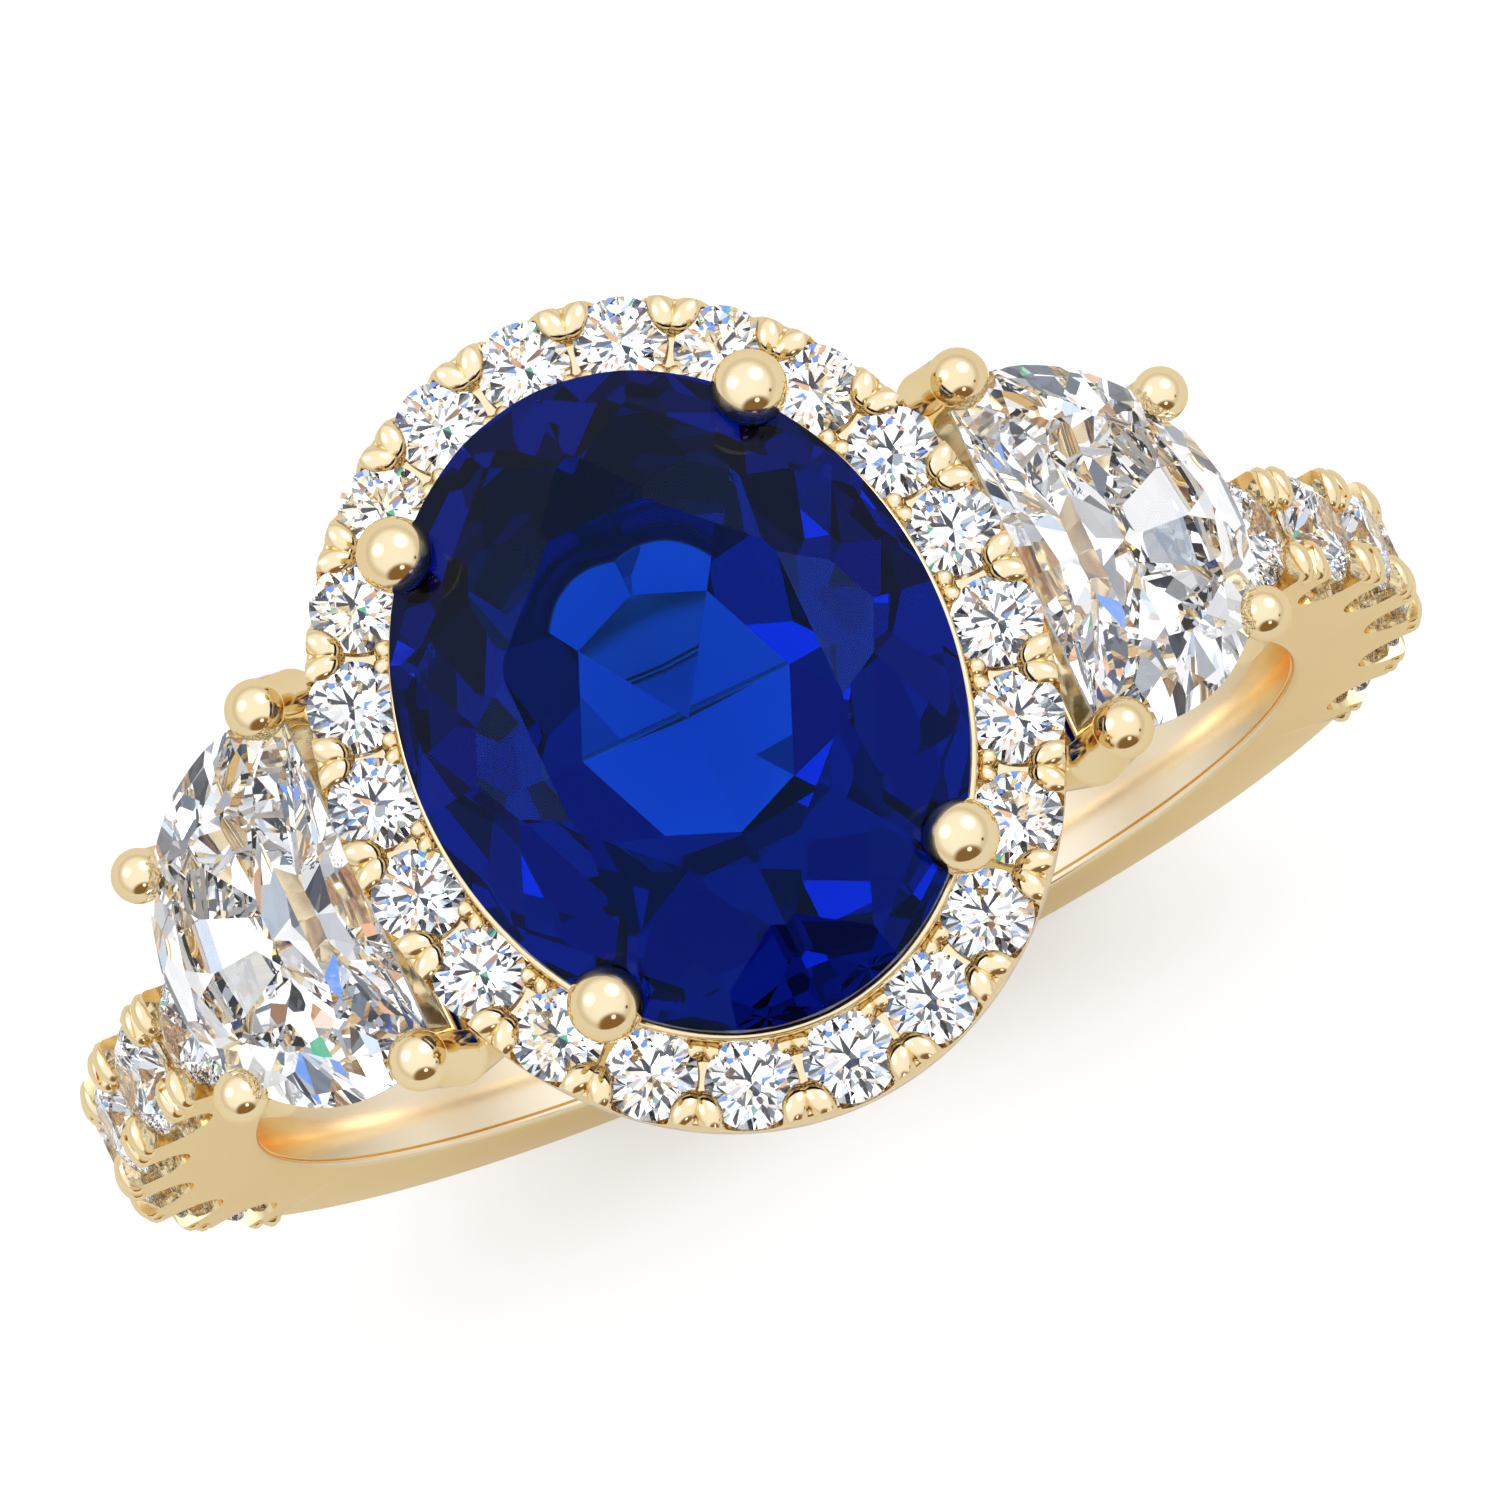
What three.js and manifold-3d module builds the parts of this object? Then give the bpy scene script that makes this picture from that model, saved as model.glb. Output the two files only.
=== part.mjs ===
// Three-stone halo engagement ring: an oval sapphire in a four-prong basket, a halo of round
// diamonds, two half-moon side stones and a shared-prong diamond shank. Millimetres.
// The origin is the centre of the finger hole, +Y runs along the finger and +Z points up
// through the centre stone. Every metal part and every stone is a solid of its own.

import * as THREE from 'three';
import { mergeVertices } from 'three/addons/utils/BufferGeometryUtils.js';
import Module from 'manifold-3d';

const wasm = await Module();
wasm.setup();

// ---------------------------------------------------------------- driving dimensions, mm

const boreRadius = 8.25; // narrowest radius of the finger hole, ring size 6
const boreEdgeRadius = 8.36; // radius of the hole where it meets the side faces
const edgeRounding = 0.12; // roll of the shank's long edges
const shankWidth = 1.8;
const shankRadius = 10.12; // outer radius of the metal, round the bottom and the shoulders
const bridgeRadius = 9.4; // outer radius of the thin stretch under the side stones
const shoulderAngle = 47.3 * Math.PI / 180; // from +Z, where the full thickness starts

const paveCount = 6; // diamonds on each shoulder
const paveDiameter = 1.72;
const paveFirstAngle = 55.9 * Math.PI / 180; // from +Z to the first diamond
const pavePitch = 11.75 * Math.PI / 180;
const paveGirdleRadius = 10.16; // from the finger axis to the girdles
const slotWidth = 1.16; // U-shaped window under each shoulder diamond
const slotBottomRadius = 9.5;
const slotHeight = 2;
const shoulderBead = { side: 0.66, along: 0.4, across: 0.22, high: 0.26 };

const sapphireWidth = 8; // along X
const sapphireLength = 10; // along Y
const sapphireGirdleHeight = 12.04; // above the finger axis
const centreProng = { x: 2.82, y: 3.64, z: 12.48, ballRadius: 0.56, stemRadius: 0.42 };
const centreFoot = { x: 1.85, y: 2.2, z: 8.75 }; // where a centre stem starts
// The basket's foot is trimmed to the finger hole, and the rail carries the sapphire's girdle.
const basketRing = { halfX: 2.35, halfY: 2.8, wall: 0.6, bottom: 7.25, top: 9.3, segments: 28 };
const seatRail = { halfX: 4.06, halfY: 5.06, wall: 0.42, bottom: 11.44, top: 11.72, segments: 40 };

const haloCount = 22;
const haloDiameter = 1.36;
const haloRow = { halfX: 4.65, halfY: 5.6 }; // ellipse through the diamonds' centres
const haloOuter = { halfX: 5.24, halfY: 6.2 };
const haloInner = { halfX: 3.96, halfY: 4.92 };
const haloBottom = 10.46;
const haloGirdleHeight = 11.15;
const haloTop = 11.11;
const haloOuterBead = { offset: 0.38, along: 0.34, across: 0.22, high: 0.24 };
const haloInnerBead = { offset: -0.45, along: 0.28, across: 0.18, high: 0.18 };

const sideTilt = 38.3 * Math.PI / 180; // from +Z to the axis of a side stone
const sideGirdleRadius = 11.55; // from the finger axis to the side stone's girdle plane
// Along the tilted head: the middle of the outline's ellipse, the straight side, the half sizes and
// the stone's own centre line.
const halfMoon = { centre: -1.4, straight: -2.4, halfDepth: 3.05, halfWidth: 2.88, middle: -0.35 };
const cornerProng = { along: -2.2, side: 2.84, ballRadius: 0.45, stemRadius: 0.36 };
const arcProng = { along: 1.08, side: 1.79, ballRadius: 0.41, stemRadius: 0.34 };
const stemLean = 0.34; // how far a side stem's foot stands in from its tip
const stemFootHeight = 0.2; // of a side stem's foot above the gallery's underside
const sideBallHeight = 0.26; // of the prong balls' centres above the girdle plane
const gallery = { bottom: 9.2, top: 9.8, inset: 0.32, wall: 0.55 };
const sideBar = { gap: 0.16, width: 0.6, top: -0.34, height: 0.34, halfLength: 2.7 };

const solderGap = 0.03; // seam kept between two separate pieces
const weldDistance = 1e-5;
const toolOverrun = 1; // how far a cutting tool runs past the metal
const toolLength = 6; // of a tool that cuts right across the shank
const ringSegments = 60; // facets round the finger axis
const bridgeSegments = 14;
const slotSegments = 4;
const footprintSegments = 32;
const gallerySegments = 14;
const rodSides = 8;
const ballSteps = { round: 10, high: 7 };
const beadSteps = { round: 6, high: 4 };
const arcSamples = 1440; // points that measure the length of an ellipse

// How the stones are cut. table, mid and lower are parts of the outline. Crown, pavilion and girdle
// are heights, in millimetres, or for the round brilliant in parts of its radius. arcSteps are the
// facets of the girdle in each half of a main, and roomSides those of the hole for the stone.
const brilliantCut = {
  table: 0.56, mid: 0.76, lower: 0.22, crown: 0.3, pavilion: 0.88, girdle: 0.05, arcSteps: 1, roomSides: 12,
};
const sapphireCut = {
  table: 0.58, mid: 0.78, lower: 0.3, crown: 1.15, pavilion: 3.5, girdle: 0.22, arcSteps: 4, roomSides: 32,
};
const halfMoonCut = {
  table: 0.58, mid: 0.79, lower: 0.34, crown: 0.55, pavilion: 1.95, girdle: 0.14, arcSteps: 3,
};

// ---------------------------------------------------------------- materials

const gold = () => new THREE.MeshStandardMaterial({ color: 0xe2c388, roughness: 0.16, metalness: 1 });
const diamond = () => new THREE.MeshStandardMaterial({
  color: 0xf4f7fb,
  roughness: 0.03,
  metalness: 0,
  flatShading: true,
});
const sapphire = () => new THREE.MeshStandardMaterial({
  color: 0x0a2c9c,
  roughness: 0.03,
  metalness: 0,
  flatShading: true,
});

// ---------------------------------------------------------------- solids and booleans

function toSolid(geometry) {
  const bare = geometry.clone();
  bare.deleteAttribute('normal');
  bare.deleteAttribute('uv');
  const merged = mergeVertices(bare, weldDistance);
  const triangles = [];
  for (let i = 0; i < merged.index.count; i += 3) {
    const [a, b, c] = [0, 1, 2].map((k) => merged.index.getX(i + k));
    if (a !== b && b !== c && c !== a) triangles.push(a, b, c);
  }
  return new wasm.Manifold(new wasm.Mesh({
    numProp: 3,
    vertProperties: new Float32Array(merged.attributes.position.array),
    triVerts: new Uint32Array(triangles),
  }));
}

function toGeometry(solid) {
  const mesh = solid.getMesh();
  const geometry = new THREE.BufferGeometry();
  geometry.setAttribute('position', new THREE.BufferAttribute(new Float32Array(mesh.vertProperties), 3));
  geometry.setIndex(new THREE.BufferAttribute(new Uint32Array(mesh.triVerts), 1));
  geometry.computeVertexNormals();
  return geometry;
}

function join(geometries) {
  return geometries.map(toSolid).reduce((whole, piece) => whole.add(piece));
}

function cut(solid, geometries) {
  return geometries.map(toSolid).reduce((whole, tool) => whole.subtract(tool), solid);
}

// ---------------------------------------------------------------- outlines and simple bodies

function ellipsePoints(halfX, halfY, count) {
  const points = [];
  for (let i = 0; i < count; i += 1) {
    const angle = (2 * Math.PI * i) / count;
    points.push(new THREE.Vector2(halfX * Math.cos(angle), halfY * Math.sin(angle)));
  }
  return points;
}

// Points at equal arc lengths round an ellipse, starting on +Y, with the outward direction.
function evenlyRoundEllipse({ halfX, halfY }, count) {
  const at = (i) => {
    const angle = Math.PI / 2 + (2 * Math.PI * i) / arcSamples;
    return new THREE.Vector2(halfX * Math.cos(angle), halfY * Math.sin(angle));
  };
  const lengths = [0];
  for (let i = 0; i < arcSamples; i += 1) lengths.push(lengths[i] + at(i).distanceTo(at(i + 1)));
  const places = [];
  for (let k = 0; k < count; k += 1) {
    const wanted = (lengths[arcSamples] * k) / count;
    const point = at(lengths.findIndex((length) => length >= wanted));
    const out = new THREE.Vector2(point.x / halfX ** 2, point.y / halfY ** 2).normalize();
    places.push({ point, out });
  }
  return places;
}

function plate(outline, hole, bottom, top) {
  const shape = new THREE.Shape(outline);
  if (hole) shape.holes.push(new THREE.Path(hole));
  const body = new THREE.ExtrudeGeometry(shape, { depth: top - bottom, bevelEnabled: false });
  return body.translate(0, 0, bottom);
}

function ovalRing({ halfX, halfY, wall, bottom, top, segments }) {
  const inner = ellipsePoints(halfX - wall, halfY - wall, segments);
  return plate(ellipsePoints(halfX, halfY, segments), inner, bottom, top);
}

function rod(from, to, radius) {
  const body = new THREE.CylinderGeometry(radius, radius, from.distanceTo(to), rodSides);
  const direction = to.clone().sub(from).normalize();
  body.applyQuaternion(new THREE.Quaternion().setFromUnitVectors(new THREE.Vector3(0, 1, 0), direction));
  return body.translate(...from.clone().add(to).multiplyScalar(0.5).toArray());
}

function ball(centre, radius) {
  const body = new THREE.SphereGeometry(radius, ballSteps.round, ballSteps.high);
  return body.translate(...centre.toArray());
}

// A rounded bead: an ellipsoid with half sizes along a tangent, an outward and an up direction.
function bead(centre, tangent, out, up, sizes) {
  const frame = new THREE.Matrix4().makeBasis(
    tangent.clone().multiplyScalar(sizes.along),
    out.clone().multiplyScalar(sizes.across),
    up.clone().multiplyScalar(sizes.high),
  );
  frame.setPosition(centre);
  const body = new THREE.SphereGeometry(1, beadSteps.round, beadSteps.high).applyMatrix4(frame);
  if (frame.determinant() < 0) body.index.array.reverse();
  return body;
}

// ---------------------------------------------------------------- gemstones

// A brilliant of any outline: outline(angle) gives the girdle, and mains are the angles of its main
// facets.
function facetedStone(outline, mains, stoneCut) {
  const { arcSteps } = stoneCut;
  const count = mains.length;
  const positions = [];
  const triangles = [];
  const add = (x, y, z) => positions.push(x, y, z) / 3 - 1;
  const corner = (i) => new THREE.Vector3().fromArray(positions, 3 * i);
  const turn = (k) => mains[k % count] + (k >= count ? 2 * Math.PI : 0);
  const between = (k, part) => turn(k) + (turn(k + 1) - turn(k)) * part;
  const place = (angle, ratio, z) => {
    const { x, y } = outline(angle);
    return add(x * ratio, y * ratio, z);
  };
  const rim = stoneCut.girdle / 2;
  const straighten = Math.cos(Math.PI / count);
  const crownSlope = (stoneCut.mid * straighten - stoneCut.table) / (1 - stoneCut.table);
  const midHeight = stoneCut.crown + (rim - stoneCut.crown) * crownSlope;
  const lowerHeight = -stoneCut.pavilion + (stoneCut.pavilion - rim) * stoneCut.lower * straighten;
  const ring = (ratio, part, z) => mains.map((_, k) => place(between(k, part), ratio, z));
  const table = ring(stoneCut.table, 0, stoneCut.crown);
  const mid = ring(stoneCut.mid, 0.5, midHeight);
  const lower = ring(stoneCut.lower, 0.5, lowerHeight);
  const culet = add(0, 0, -stoneCut.pavilion);

  // The girdle is scalloped: each facet next to it is flat and meets the round side in a curve.
  const girdle = (side, inner) => {
    const points = [];
    for (let k = 0; k < count; k += 1) {
      for (const half of [0, 0.5]) {
        const [from, to] = [half, half + 0.5].map((part) => {
          const { x, y } = outline(between(k, part));
          return new THREE.Vector3(x, y, side * rim);
        });
        const facet = new THREE.Plane().setFromCoplanarPoints(corner(inner[k]), from, to);
        for (let step = 0; step < arcSteps; step += 1) {
          const { x, y } = outline(between(k, half + (0.5 * step) / arcSteps));
          const level = -(facet.constant + facet.normal.x * x + facet.normal.y * y) / facet.normal.z;
          points.push(add(x, y, level));
        }
      }
    }
    return points;
  };
  const upper = girdle(1, mid);
  const under = girdle(-1, lower);
  const steps = 2 * arcSteps;
  const around = (list, i) => list[(i + list.length) % list.length];
  for (let k = 1; k < count - 1; k += 1) triangles.push(table[0], table[k], table[k + 1]);
  for (let k = 0; k < count; k += 1) {
    const main = k * steps;
    triangles.push(table[k], mid[k], around(table, k + 1));
    triangles.push(table[k], around(mid, k - 1), upper[main]);
    triangles.push(table[k], upper[main], mid[k]);
    triangles.push(culet, lower[k], around(lower, k - 1));
    triangles.push(around(lower, k - 1), lower[k], under[main]);
    for (let i = main; i < main + steps; i += 1) {
      const next = (i + 1) % upper.length;
      triangles.push(mid[k], upper[i], upper[next]);
      triangles.push(upper[i], under[i], under[next]);
      triangles.push(upper[i], under[next], upper[next]);
      triangles.push(lower[k], under[next], under[i]);
    }
  }
  const geometry = new THREE.BufferGeometry();
  geometry.setAttribute('position', new THREE.Float32BufferAttribute(positions, 3));
  geometry.setIndex(triangles);
  geometry.computeVertexNormals();
  return geometry;
}

const eighths = [0, 1, 2, 3, 4, 5, 6, 7].map((k) => (k * Math.PI) / 4);

function ovalStone(halfX, halfY, stoneCut) {
  const outline = (angle) => ({ x: halfX * Math.cos(angle), y: halfY * Math.sin(angle) });
  return facetedStone(outline, eighths, stoneCut);
}

function sizedBrilliantCut(diameter) {
  const radius = diameter / 2;
  const { crown, pavilion, girdle } = brilliantCut;
  return { ...brilliantCut, crown: crown * radius, pavilion: pavilion * radius, girdle: girdle * radius };
}

function roundBrilliant(diameter) {
  return ovalStone(diameter / 2, diameter / 2, sizedBrilliantCut(diameter));
}

// The half-moon's outline is an ellipse cut off by its straight side. It is measured from the
// stone's own centre line, with +X away from the centre stone.
function halfMoonOutline(angle) {
  const [dx, dy] = [Math.cos(angle), Math.sin(angle)];
  const offset = halfMoon.middle - halfMoon.centre;
  const a = (dx / halfMoon.halfDepth) ** 2 + (dy / halfMoon.halfWidth) ** 2;
  const b = (2 * offset * dx) / halfMoon.halfDepth ** 2;
  const c = (offset / halfMoon.halfDepth) ** 2 - 1;
  const toEllipse = (-b + Math.sqrt(b * b - 4 * a * c)) / (2 * a);
  const toStraight = dx < 0 ? (halfMoon.straight - halfMoon.middle) / dx : Infinity;
  const reach = Math.min(toEllipse, toStraight);
  return { x: reach * dx, y: reach * dy };
}

// Main facets from the far end of the arc to one corner, on the straight side, and back.
function halfMoonMains() {
  const part = (halfMoon.straight - halfMoon.centre) / halfMoon.halfDepth;
  const cornerSide = halfMoon.halfWidth * Math.sqrt(1 - part ** 2);
  const cornerAngle = Math.PI - Math.atan2(cornerSide, halfMoon.middle - halfMoon.straight);
  const there = [0, 1 / 3, 2 / 3, 1].map((share) => share * cornerAngle);
  const back = there.slice(1).reverse().map((angle) => 2 * Math.PI - angle);
  return [...there, Math.PI, ...back];
}

function halfMoonStone() {
  return facetedStone(halfMoonOutline, halfMoonMains(), halfMoonCut);
}

// The room that a stone needs in its setting: its turned shape, a solder gap larger all round.
function stoneRoom(halfX, halfY, stoneCut) {
  const sides = stoneCut.roomSides;
  const profile = [
    new THREE.Vector2(0, -stoneCut.pavilion - solderGap),
    new THREE.Vector2(1, -stoneCut.girdle / 2 - solderGap),
    new THREE.Vector2(1, stoneCut.girdle / 2 + solderGap),
    new THREE.Vector2(stoneCut.table, stoneCut.crown + solderGap),
    new THREE.Vector2(0, stoneCut.crown + solderGap),
  ];
  const body = new THREE.LatheGeometry(profile, sides, Math.PI / 2).rotateX(Math.PI / 2);
  const grow = 1 / Math.cos(Math.PI / sides); // so that the flats of the tool clear the stone too
  return body.scale((halfX + solderGap) * grow, (halfY + solderGap) * grow, 1);
}

function roundRoom(diameter) {
  return stoneRoom(diameter / 2, diameter / 2, sizedBrilliantCut(diameter));
}

function halfMoonRoom() {
  const grow = 1 + solderGap / 2;
  const larger = {
    ...halfMoonCut,
    crown: halfMoonCut.crown + solderGap,
    pavilion: halfMoonCut.pavilion + solderGap,
    girdle: halfMoonCut.girdle + 2 * solderGap,
  };
  const outline = (angle) => {
    const { x, y } = halfMoonOutline(angle);
    return { x: x * grow, y: y * grow };
  };
  return facetedStone(outline, halfMoonMains(), larger).translate(halfMoon.middle, 0, 0);
}

// ---------------------------------------------------------------- places

const up = new THREE.Vector3(0, 0, 1);
const fingerAxis = new THREE.Vector3(0, 1, 0);
const outFromAxis = (angle) => new THREE.Vector3(Math.sin(angle), 0, Math.cos(angle));
const paveAngle = (index) => paveFirstAngle + index * pavePitch;

const haloPlaces = evenlyRoundEllipse(haloRow, 2 * haloCount);
const haloStones = haloPlaces.filter((_, i) => i % 2 === 0);
const haloGaps = haloPlaces.filter((_, i) => i % 2 === 1);

// Turns a body built round +Z so that its axis points out of the ring at an angle from +Z.
function standOut(body, angle, radius) {
  return body.translate(0, 0, radius).rotateY(angle);
}

// ---------------------------------------------------------------- metal parts

// The shank starts as a turned ring with rolled edges and a crowned inside.
function shankBlank() {
  const half = shankWidth / 2;
  const profile = [
    new THREE.Vector2(boreRadius, 0),
    new THREE.Vector2(boreEdgeRadius, half - edgeRounding),
    new THREE.Vector2(boreEdgeRadius + edgeRounding, half),
    new THREE.Vector2(shankRadius - edgeRounding, half),
    new THREE.Vector2(shankRadius, half - edgeRounding),
  ];
  const mirrored = profile.slice(1).reverse().map(({ x, y }) => new THREE.Vector2(x, -y));
  const closed = [...profile, ...mirrored, profile[0]].reverse();
  return toSolid(new THREE.LatheGeometry(closed, ringSegments));
}

// A plain cylinder about the finger axis, longer than any part is wide.
function roundFinger(radius, sides) {
  return new THREE.CylinderGeometry(radius, radius, 4 * sapphireLength, sides);
}

// A cutting tool drawn in the XZ plane that runs right across the shank.
function acrossShank(shape, curveSegments) {
  const body = new THREE.ExtrudeGeometry(shape, { depth: toolLength, bevelEnabled: false, curveSegments });
  return body.translate(0, 0, -toolLength / 2).rotateX(Math.PI / 2);
}

// A sector of a plain ring about the finger axis, used to thin the shank under the side stones.
function topSector(innerRadius, outerRadius, halfAngle) {
  const shape = new THREE.Shape();
  const [start, end] = [Math.PI / 2 - halfAngle, Math.PI / 2 + halfAngle];
  shape.absarc(0, 0, innerRadius, start, end, false);
  shape.absarc(0, 0, outerRadius, end, start, true);
  return acrossShank(shape, bridgeSegments);
}

// The U-shaped window under a shoulder diamond, its round bottom at the origin.
function slotTool() {
  const half = slotWidth / 2;
  const shape = new THREE.Shape();
  shape.moveTo(half, slotHeight);
  shape.lineTo(-half, slotHeight);
  shape.absarc(0, half, half, Math.PI, 2 * Math.PI, false);
  return acrossShank(shape, slotSegments);
}

// The pair of beads between two shoulder diamonds, one on each edge of the shank.
function sharedProngs(angle) {
  const out = outFromAxis(angle);
  const tangent = new THREE.Vector3().crossVectors(fingerAxis, out);
  return [-1, 1].map((side) => {
    const centre = out.clone().multiplyScalar(shankRadius);
    centre.addScaledVector(fingerAxis, side * shoulderBead.side);
    return bead(centre, tangent, fingerAxis, out, shoulderBead);
  });
}

function shankPart() {
  const tools = [topSector(bridgeRadius, shankRadius + toolOverrun, shoulderAngle)];
  const prongs = [];
  const halfTurns = [0, Math.PI];
  for (let i = 0; i < paveCount; i += 1) {
    for (const turn of halfTurns) {
      tools.push(standOut(slotTool(), paveAngle(i), slotBottomRadius).rotateZ(turn));
    }
  }
  for (let i = 0; i <= paveCount; i += 1) {
    for (const turn of halfTurns) {
      prongs.push(...sharedProngs(paveAngle(i - 0.5)).map((prong) => prong.rotateZ(turn)));
    }
  }
  let solid = cut(shankBlank(), tools).add(join(prongs));
  for (let i = 0; i < paveCount; i += 1) {
    const room = standOut(roundRoom(paveDiameter), paveAngle(i), paveGirdleRadius);
    solid = cut(solid, halfTurns.map((turn) => room.clone().rotateZ(turn)));
  }
  const { halfX, halfY } = basketRing;
  const footprint = ellipsePoints(halfX + solderGap, halfY + solderGap, footprintSegments);
  return toGeometry(cut(solid, [plate(footprint, null, 0, shankRadius + toolOverrun)]));
}

// The four stems that rise from the basket to the sapphire's prong balls.
function centreStems() {
  return [[1, 1], [-1, 1], [-1, -1], [1, -1]].map(([sideX, sideY]) => ({
    foot: new THREE.Vector3(sideX * centreFoot.x, sideY * centreFoot.y, centreFoot.z),
    tip: new THREE.Vector3(sideX * centreProng.x, sideY * centreProng.y, centreProng.z),
  }));
}

function centreHeadPart() {
  const pieces = [ovalRing(basketRing), ovalRing(seatRail)];
  for (const { foot, tip } of centreStems()) {
    pieces.push(rod(foot, tip, centreProng.stemRadius), ball(tip, centreProng.ballRadius));
  }
  const room = stoneRoom(sapphireWidth / 2, sapphireLength / 2, sapphireCut);
  const tools = [room.translate(0, 0, sapphireGirdleHeight), roundFinger(boreRadius, ringSegments)];
  return toGeometry(cut(join(pieces), tools));
}

function haloPart() {
  const segments = 3 * haloCount;
  const inner = ellipsePoints(haloInner.halfX, haloInner.halfY, segments);
  const outer = ellipsePoints(haloOuter.halfX, haloOuter.halfY, segments);
  const pieces = [plate(outer, inner, haloBottom, haloTop)];
  for (const { point, out } of haloGaps) {
    const outward = new THREE.Vector3(out.x, out.y, 0);
    const tangent = new THREE.Vector3(-out.y, out.x, 0);
    const centre = new THREE.Vector3(point.x, point.y, haloGirdleHeight);
    for (const prong of [haloOuterBead, haloInnerBead]) {
      const spot = centre.clone().addScaledVector(outward, prong.offset);
      pieces.push(bead(spot, tangent, outward, up, prong));
    }
  }
  const rooms = haloStones.map(({ point }) => (
    roundRoom(haloDiameter).translate(point.x, point.y, haloGirdleHeight)
  ));
  const stems = centreStems().map(({ foot, tip }) => rod(foot, tip, centreProng.stemRadius + solderGap));
  return toGeometry(cut(join(pieces), [...rooms, ...stems]));
}

// A side head is built flat, with its stone's girdle plane at z = sideGirdleRadius and +X away
// from the centre stone, and is then tilted out to its place over the shoulder.
function galleryOutline(inset) {
  const points = [];
  const centre = halfMoon.centre;
  const [depth, width] = [halfMoon.halfDepth - inset, halfMoon.halfWidth - inset];
  const straight = halfMoon.straight + inset;
  const reach = Math.acos((straight - centre) / depth);
  for (let i = 0; i <= gallerySegments; i += 1) {
    const angle = -reach + (2 * reach * i) / gallerySegments;
    points.push(new THREE.Vector2(centre + depth * Math.cos(angle), width * Math.sin(angle)));
  }
  return points;
}

function sideHeadPart() {
  const outline = galleryOutline(gallery.inset);
  const hole = galleryOutline(gallery.inset + gallery.wall);
  const pieces = [plate(outline, hole, gallery.bottom, gallery.top)];
  for (const prong of [cornerProng, arcProng]) {
    for (const side of [-1, 1]) {
      const top = new THREE.Vector3(prong.along, side * prong.side, sideGirdleRadius + sideBallHeight);
      const foot = new THREE.Vector3(prong.along, side * prong.side, gallery.bottom + stemFootHeight);
      foot.x -= stemLean * Math.sign(prong.along - halfMoon.centre);
      foot.y -= stemLean * side;
      pieces.push(rod(foot, top, prong.stemRadius), ball(top, prong.ballRadius));
    }
  }
  const bar = new THREE.BoxGeometry(sideBar.width, 2 * sideBar.halfLength, sideBar.height);
  const barMiddle = halfMoon.straight - sideBar.gap + sideBar.width / 2;
  const barHeight = sideGirdleRadius + sideBar.top - sideBar.height / 2;
  pieces.push(bar.translate(barMiddle, 0, barHeight));
  const room = halfMoonRoom().translate(0, 0, sideGirdleRadius);
  const tilted = toGeometry(cut(join(pieces), [room])).rotateY(sideTilt);
  const shankRoom = roundFinger(bridgeRadius + solderGap, 2 * ringSegments);
  return toGeometry(cut(toSolid(tilted), [shankRoom]));
}

// ---------------------------------------------------------------- assembly

const ring = new THREE.Group();

function place(name, geometry, material, parent = ring) {
  const mesh = new THREE.Mesh(geometry, material);
  mesh.name = name;
  parent.add(mesh);
  return mesh;
}

place('shank', shankPart(), gold());
place('centre_head', centreHeadPart(), gold());
place('halo', haloPart(), gold());

const centreStone = place(
  'centre_sapphire',
  ovalStone(sapphireWidth / 2, sapphireLength / 2, sapphireCut),
  sapphire(),
);
centreStone.position.z = sapphireGirdleHeight;

haloStones.forEach(({ point }, i) => {
  const number = String(i + 1).padStart(2, '0');
  const stone = place(`halo_diamond_${number}`, roundBrilliant(haloDiameter), diamond());
  stone.position.set(point.x, point.y, haloGirdleHeight);
});

for (const side of ['right', 'left']) {
  const half = new THREE.Group();
  half.rotation.z = side === 'right' ? 0 : Math.PI;
  ring.add(half);
  place(`side_head_${side}`, sideHeadPart(), gold(), half);

  const tilt = new THREE.Group();
  tilt.rotation.y = sideTilt;
  half.add(tilt);
  const moon = place(`half_moon_${side}`, halfMoonStone(), diamond(), tilt);
  moon.position.set(halfMoon.middle, 0, sideGirdleRadius);

  for (let i = 0; i < paveCount; i += 1) {
    const turn = new THREE.Group();
    turn.rotation.y = paveAngle(i);
    half.add(turn);
    const stone = place(`pave_diamond_${side}_${i + 1}`, roundBrilliant(paveDiameter), diamond(), turn);
    stone.position.z = paveGirdleRadius;
  }
}

export default ring;
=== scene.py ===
"""Looks of a three-stone halo ring: oval sapphire, diamond halo, half-moon sides, diamond shank.

Shapes are made in millimetres in the ring's own frame (origin at the centre of the finger hole,
+Y along the finger, +Z up through the centre stone) and stored in metres.
"""

import math

import bmesh
import bpy
from mathutils import Matrix, Vector


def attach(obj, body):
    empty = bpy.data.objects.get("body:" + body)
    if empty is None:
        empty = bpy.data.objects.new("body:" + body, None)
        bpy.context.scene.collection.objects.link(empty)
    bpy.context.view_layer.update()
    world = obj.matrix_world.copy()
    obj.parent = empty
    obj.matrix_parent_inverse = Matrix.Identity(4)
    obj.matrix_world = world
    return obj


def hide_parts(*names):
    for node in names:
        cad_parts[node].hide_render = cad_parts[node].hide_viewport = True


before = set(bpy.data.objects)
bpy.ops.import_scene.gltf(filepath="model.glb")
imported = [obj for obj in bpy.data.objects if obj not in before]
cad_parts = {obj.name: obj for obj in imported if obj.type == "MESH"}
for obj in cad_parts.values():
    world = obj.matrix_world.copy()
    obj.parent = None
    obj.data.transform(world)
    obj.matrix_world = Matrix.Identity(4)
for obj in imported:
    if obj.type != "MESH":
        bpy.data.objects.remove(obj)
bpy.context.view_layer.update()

# ---------------------------------------------------------------- sizes, mm and radians

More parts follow.
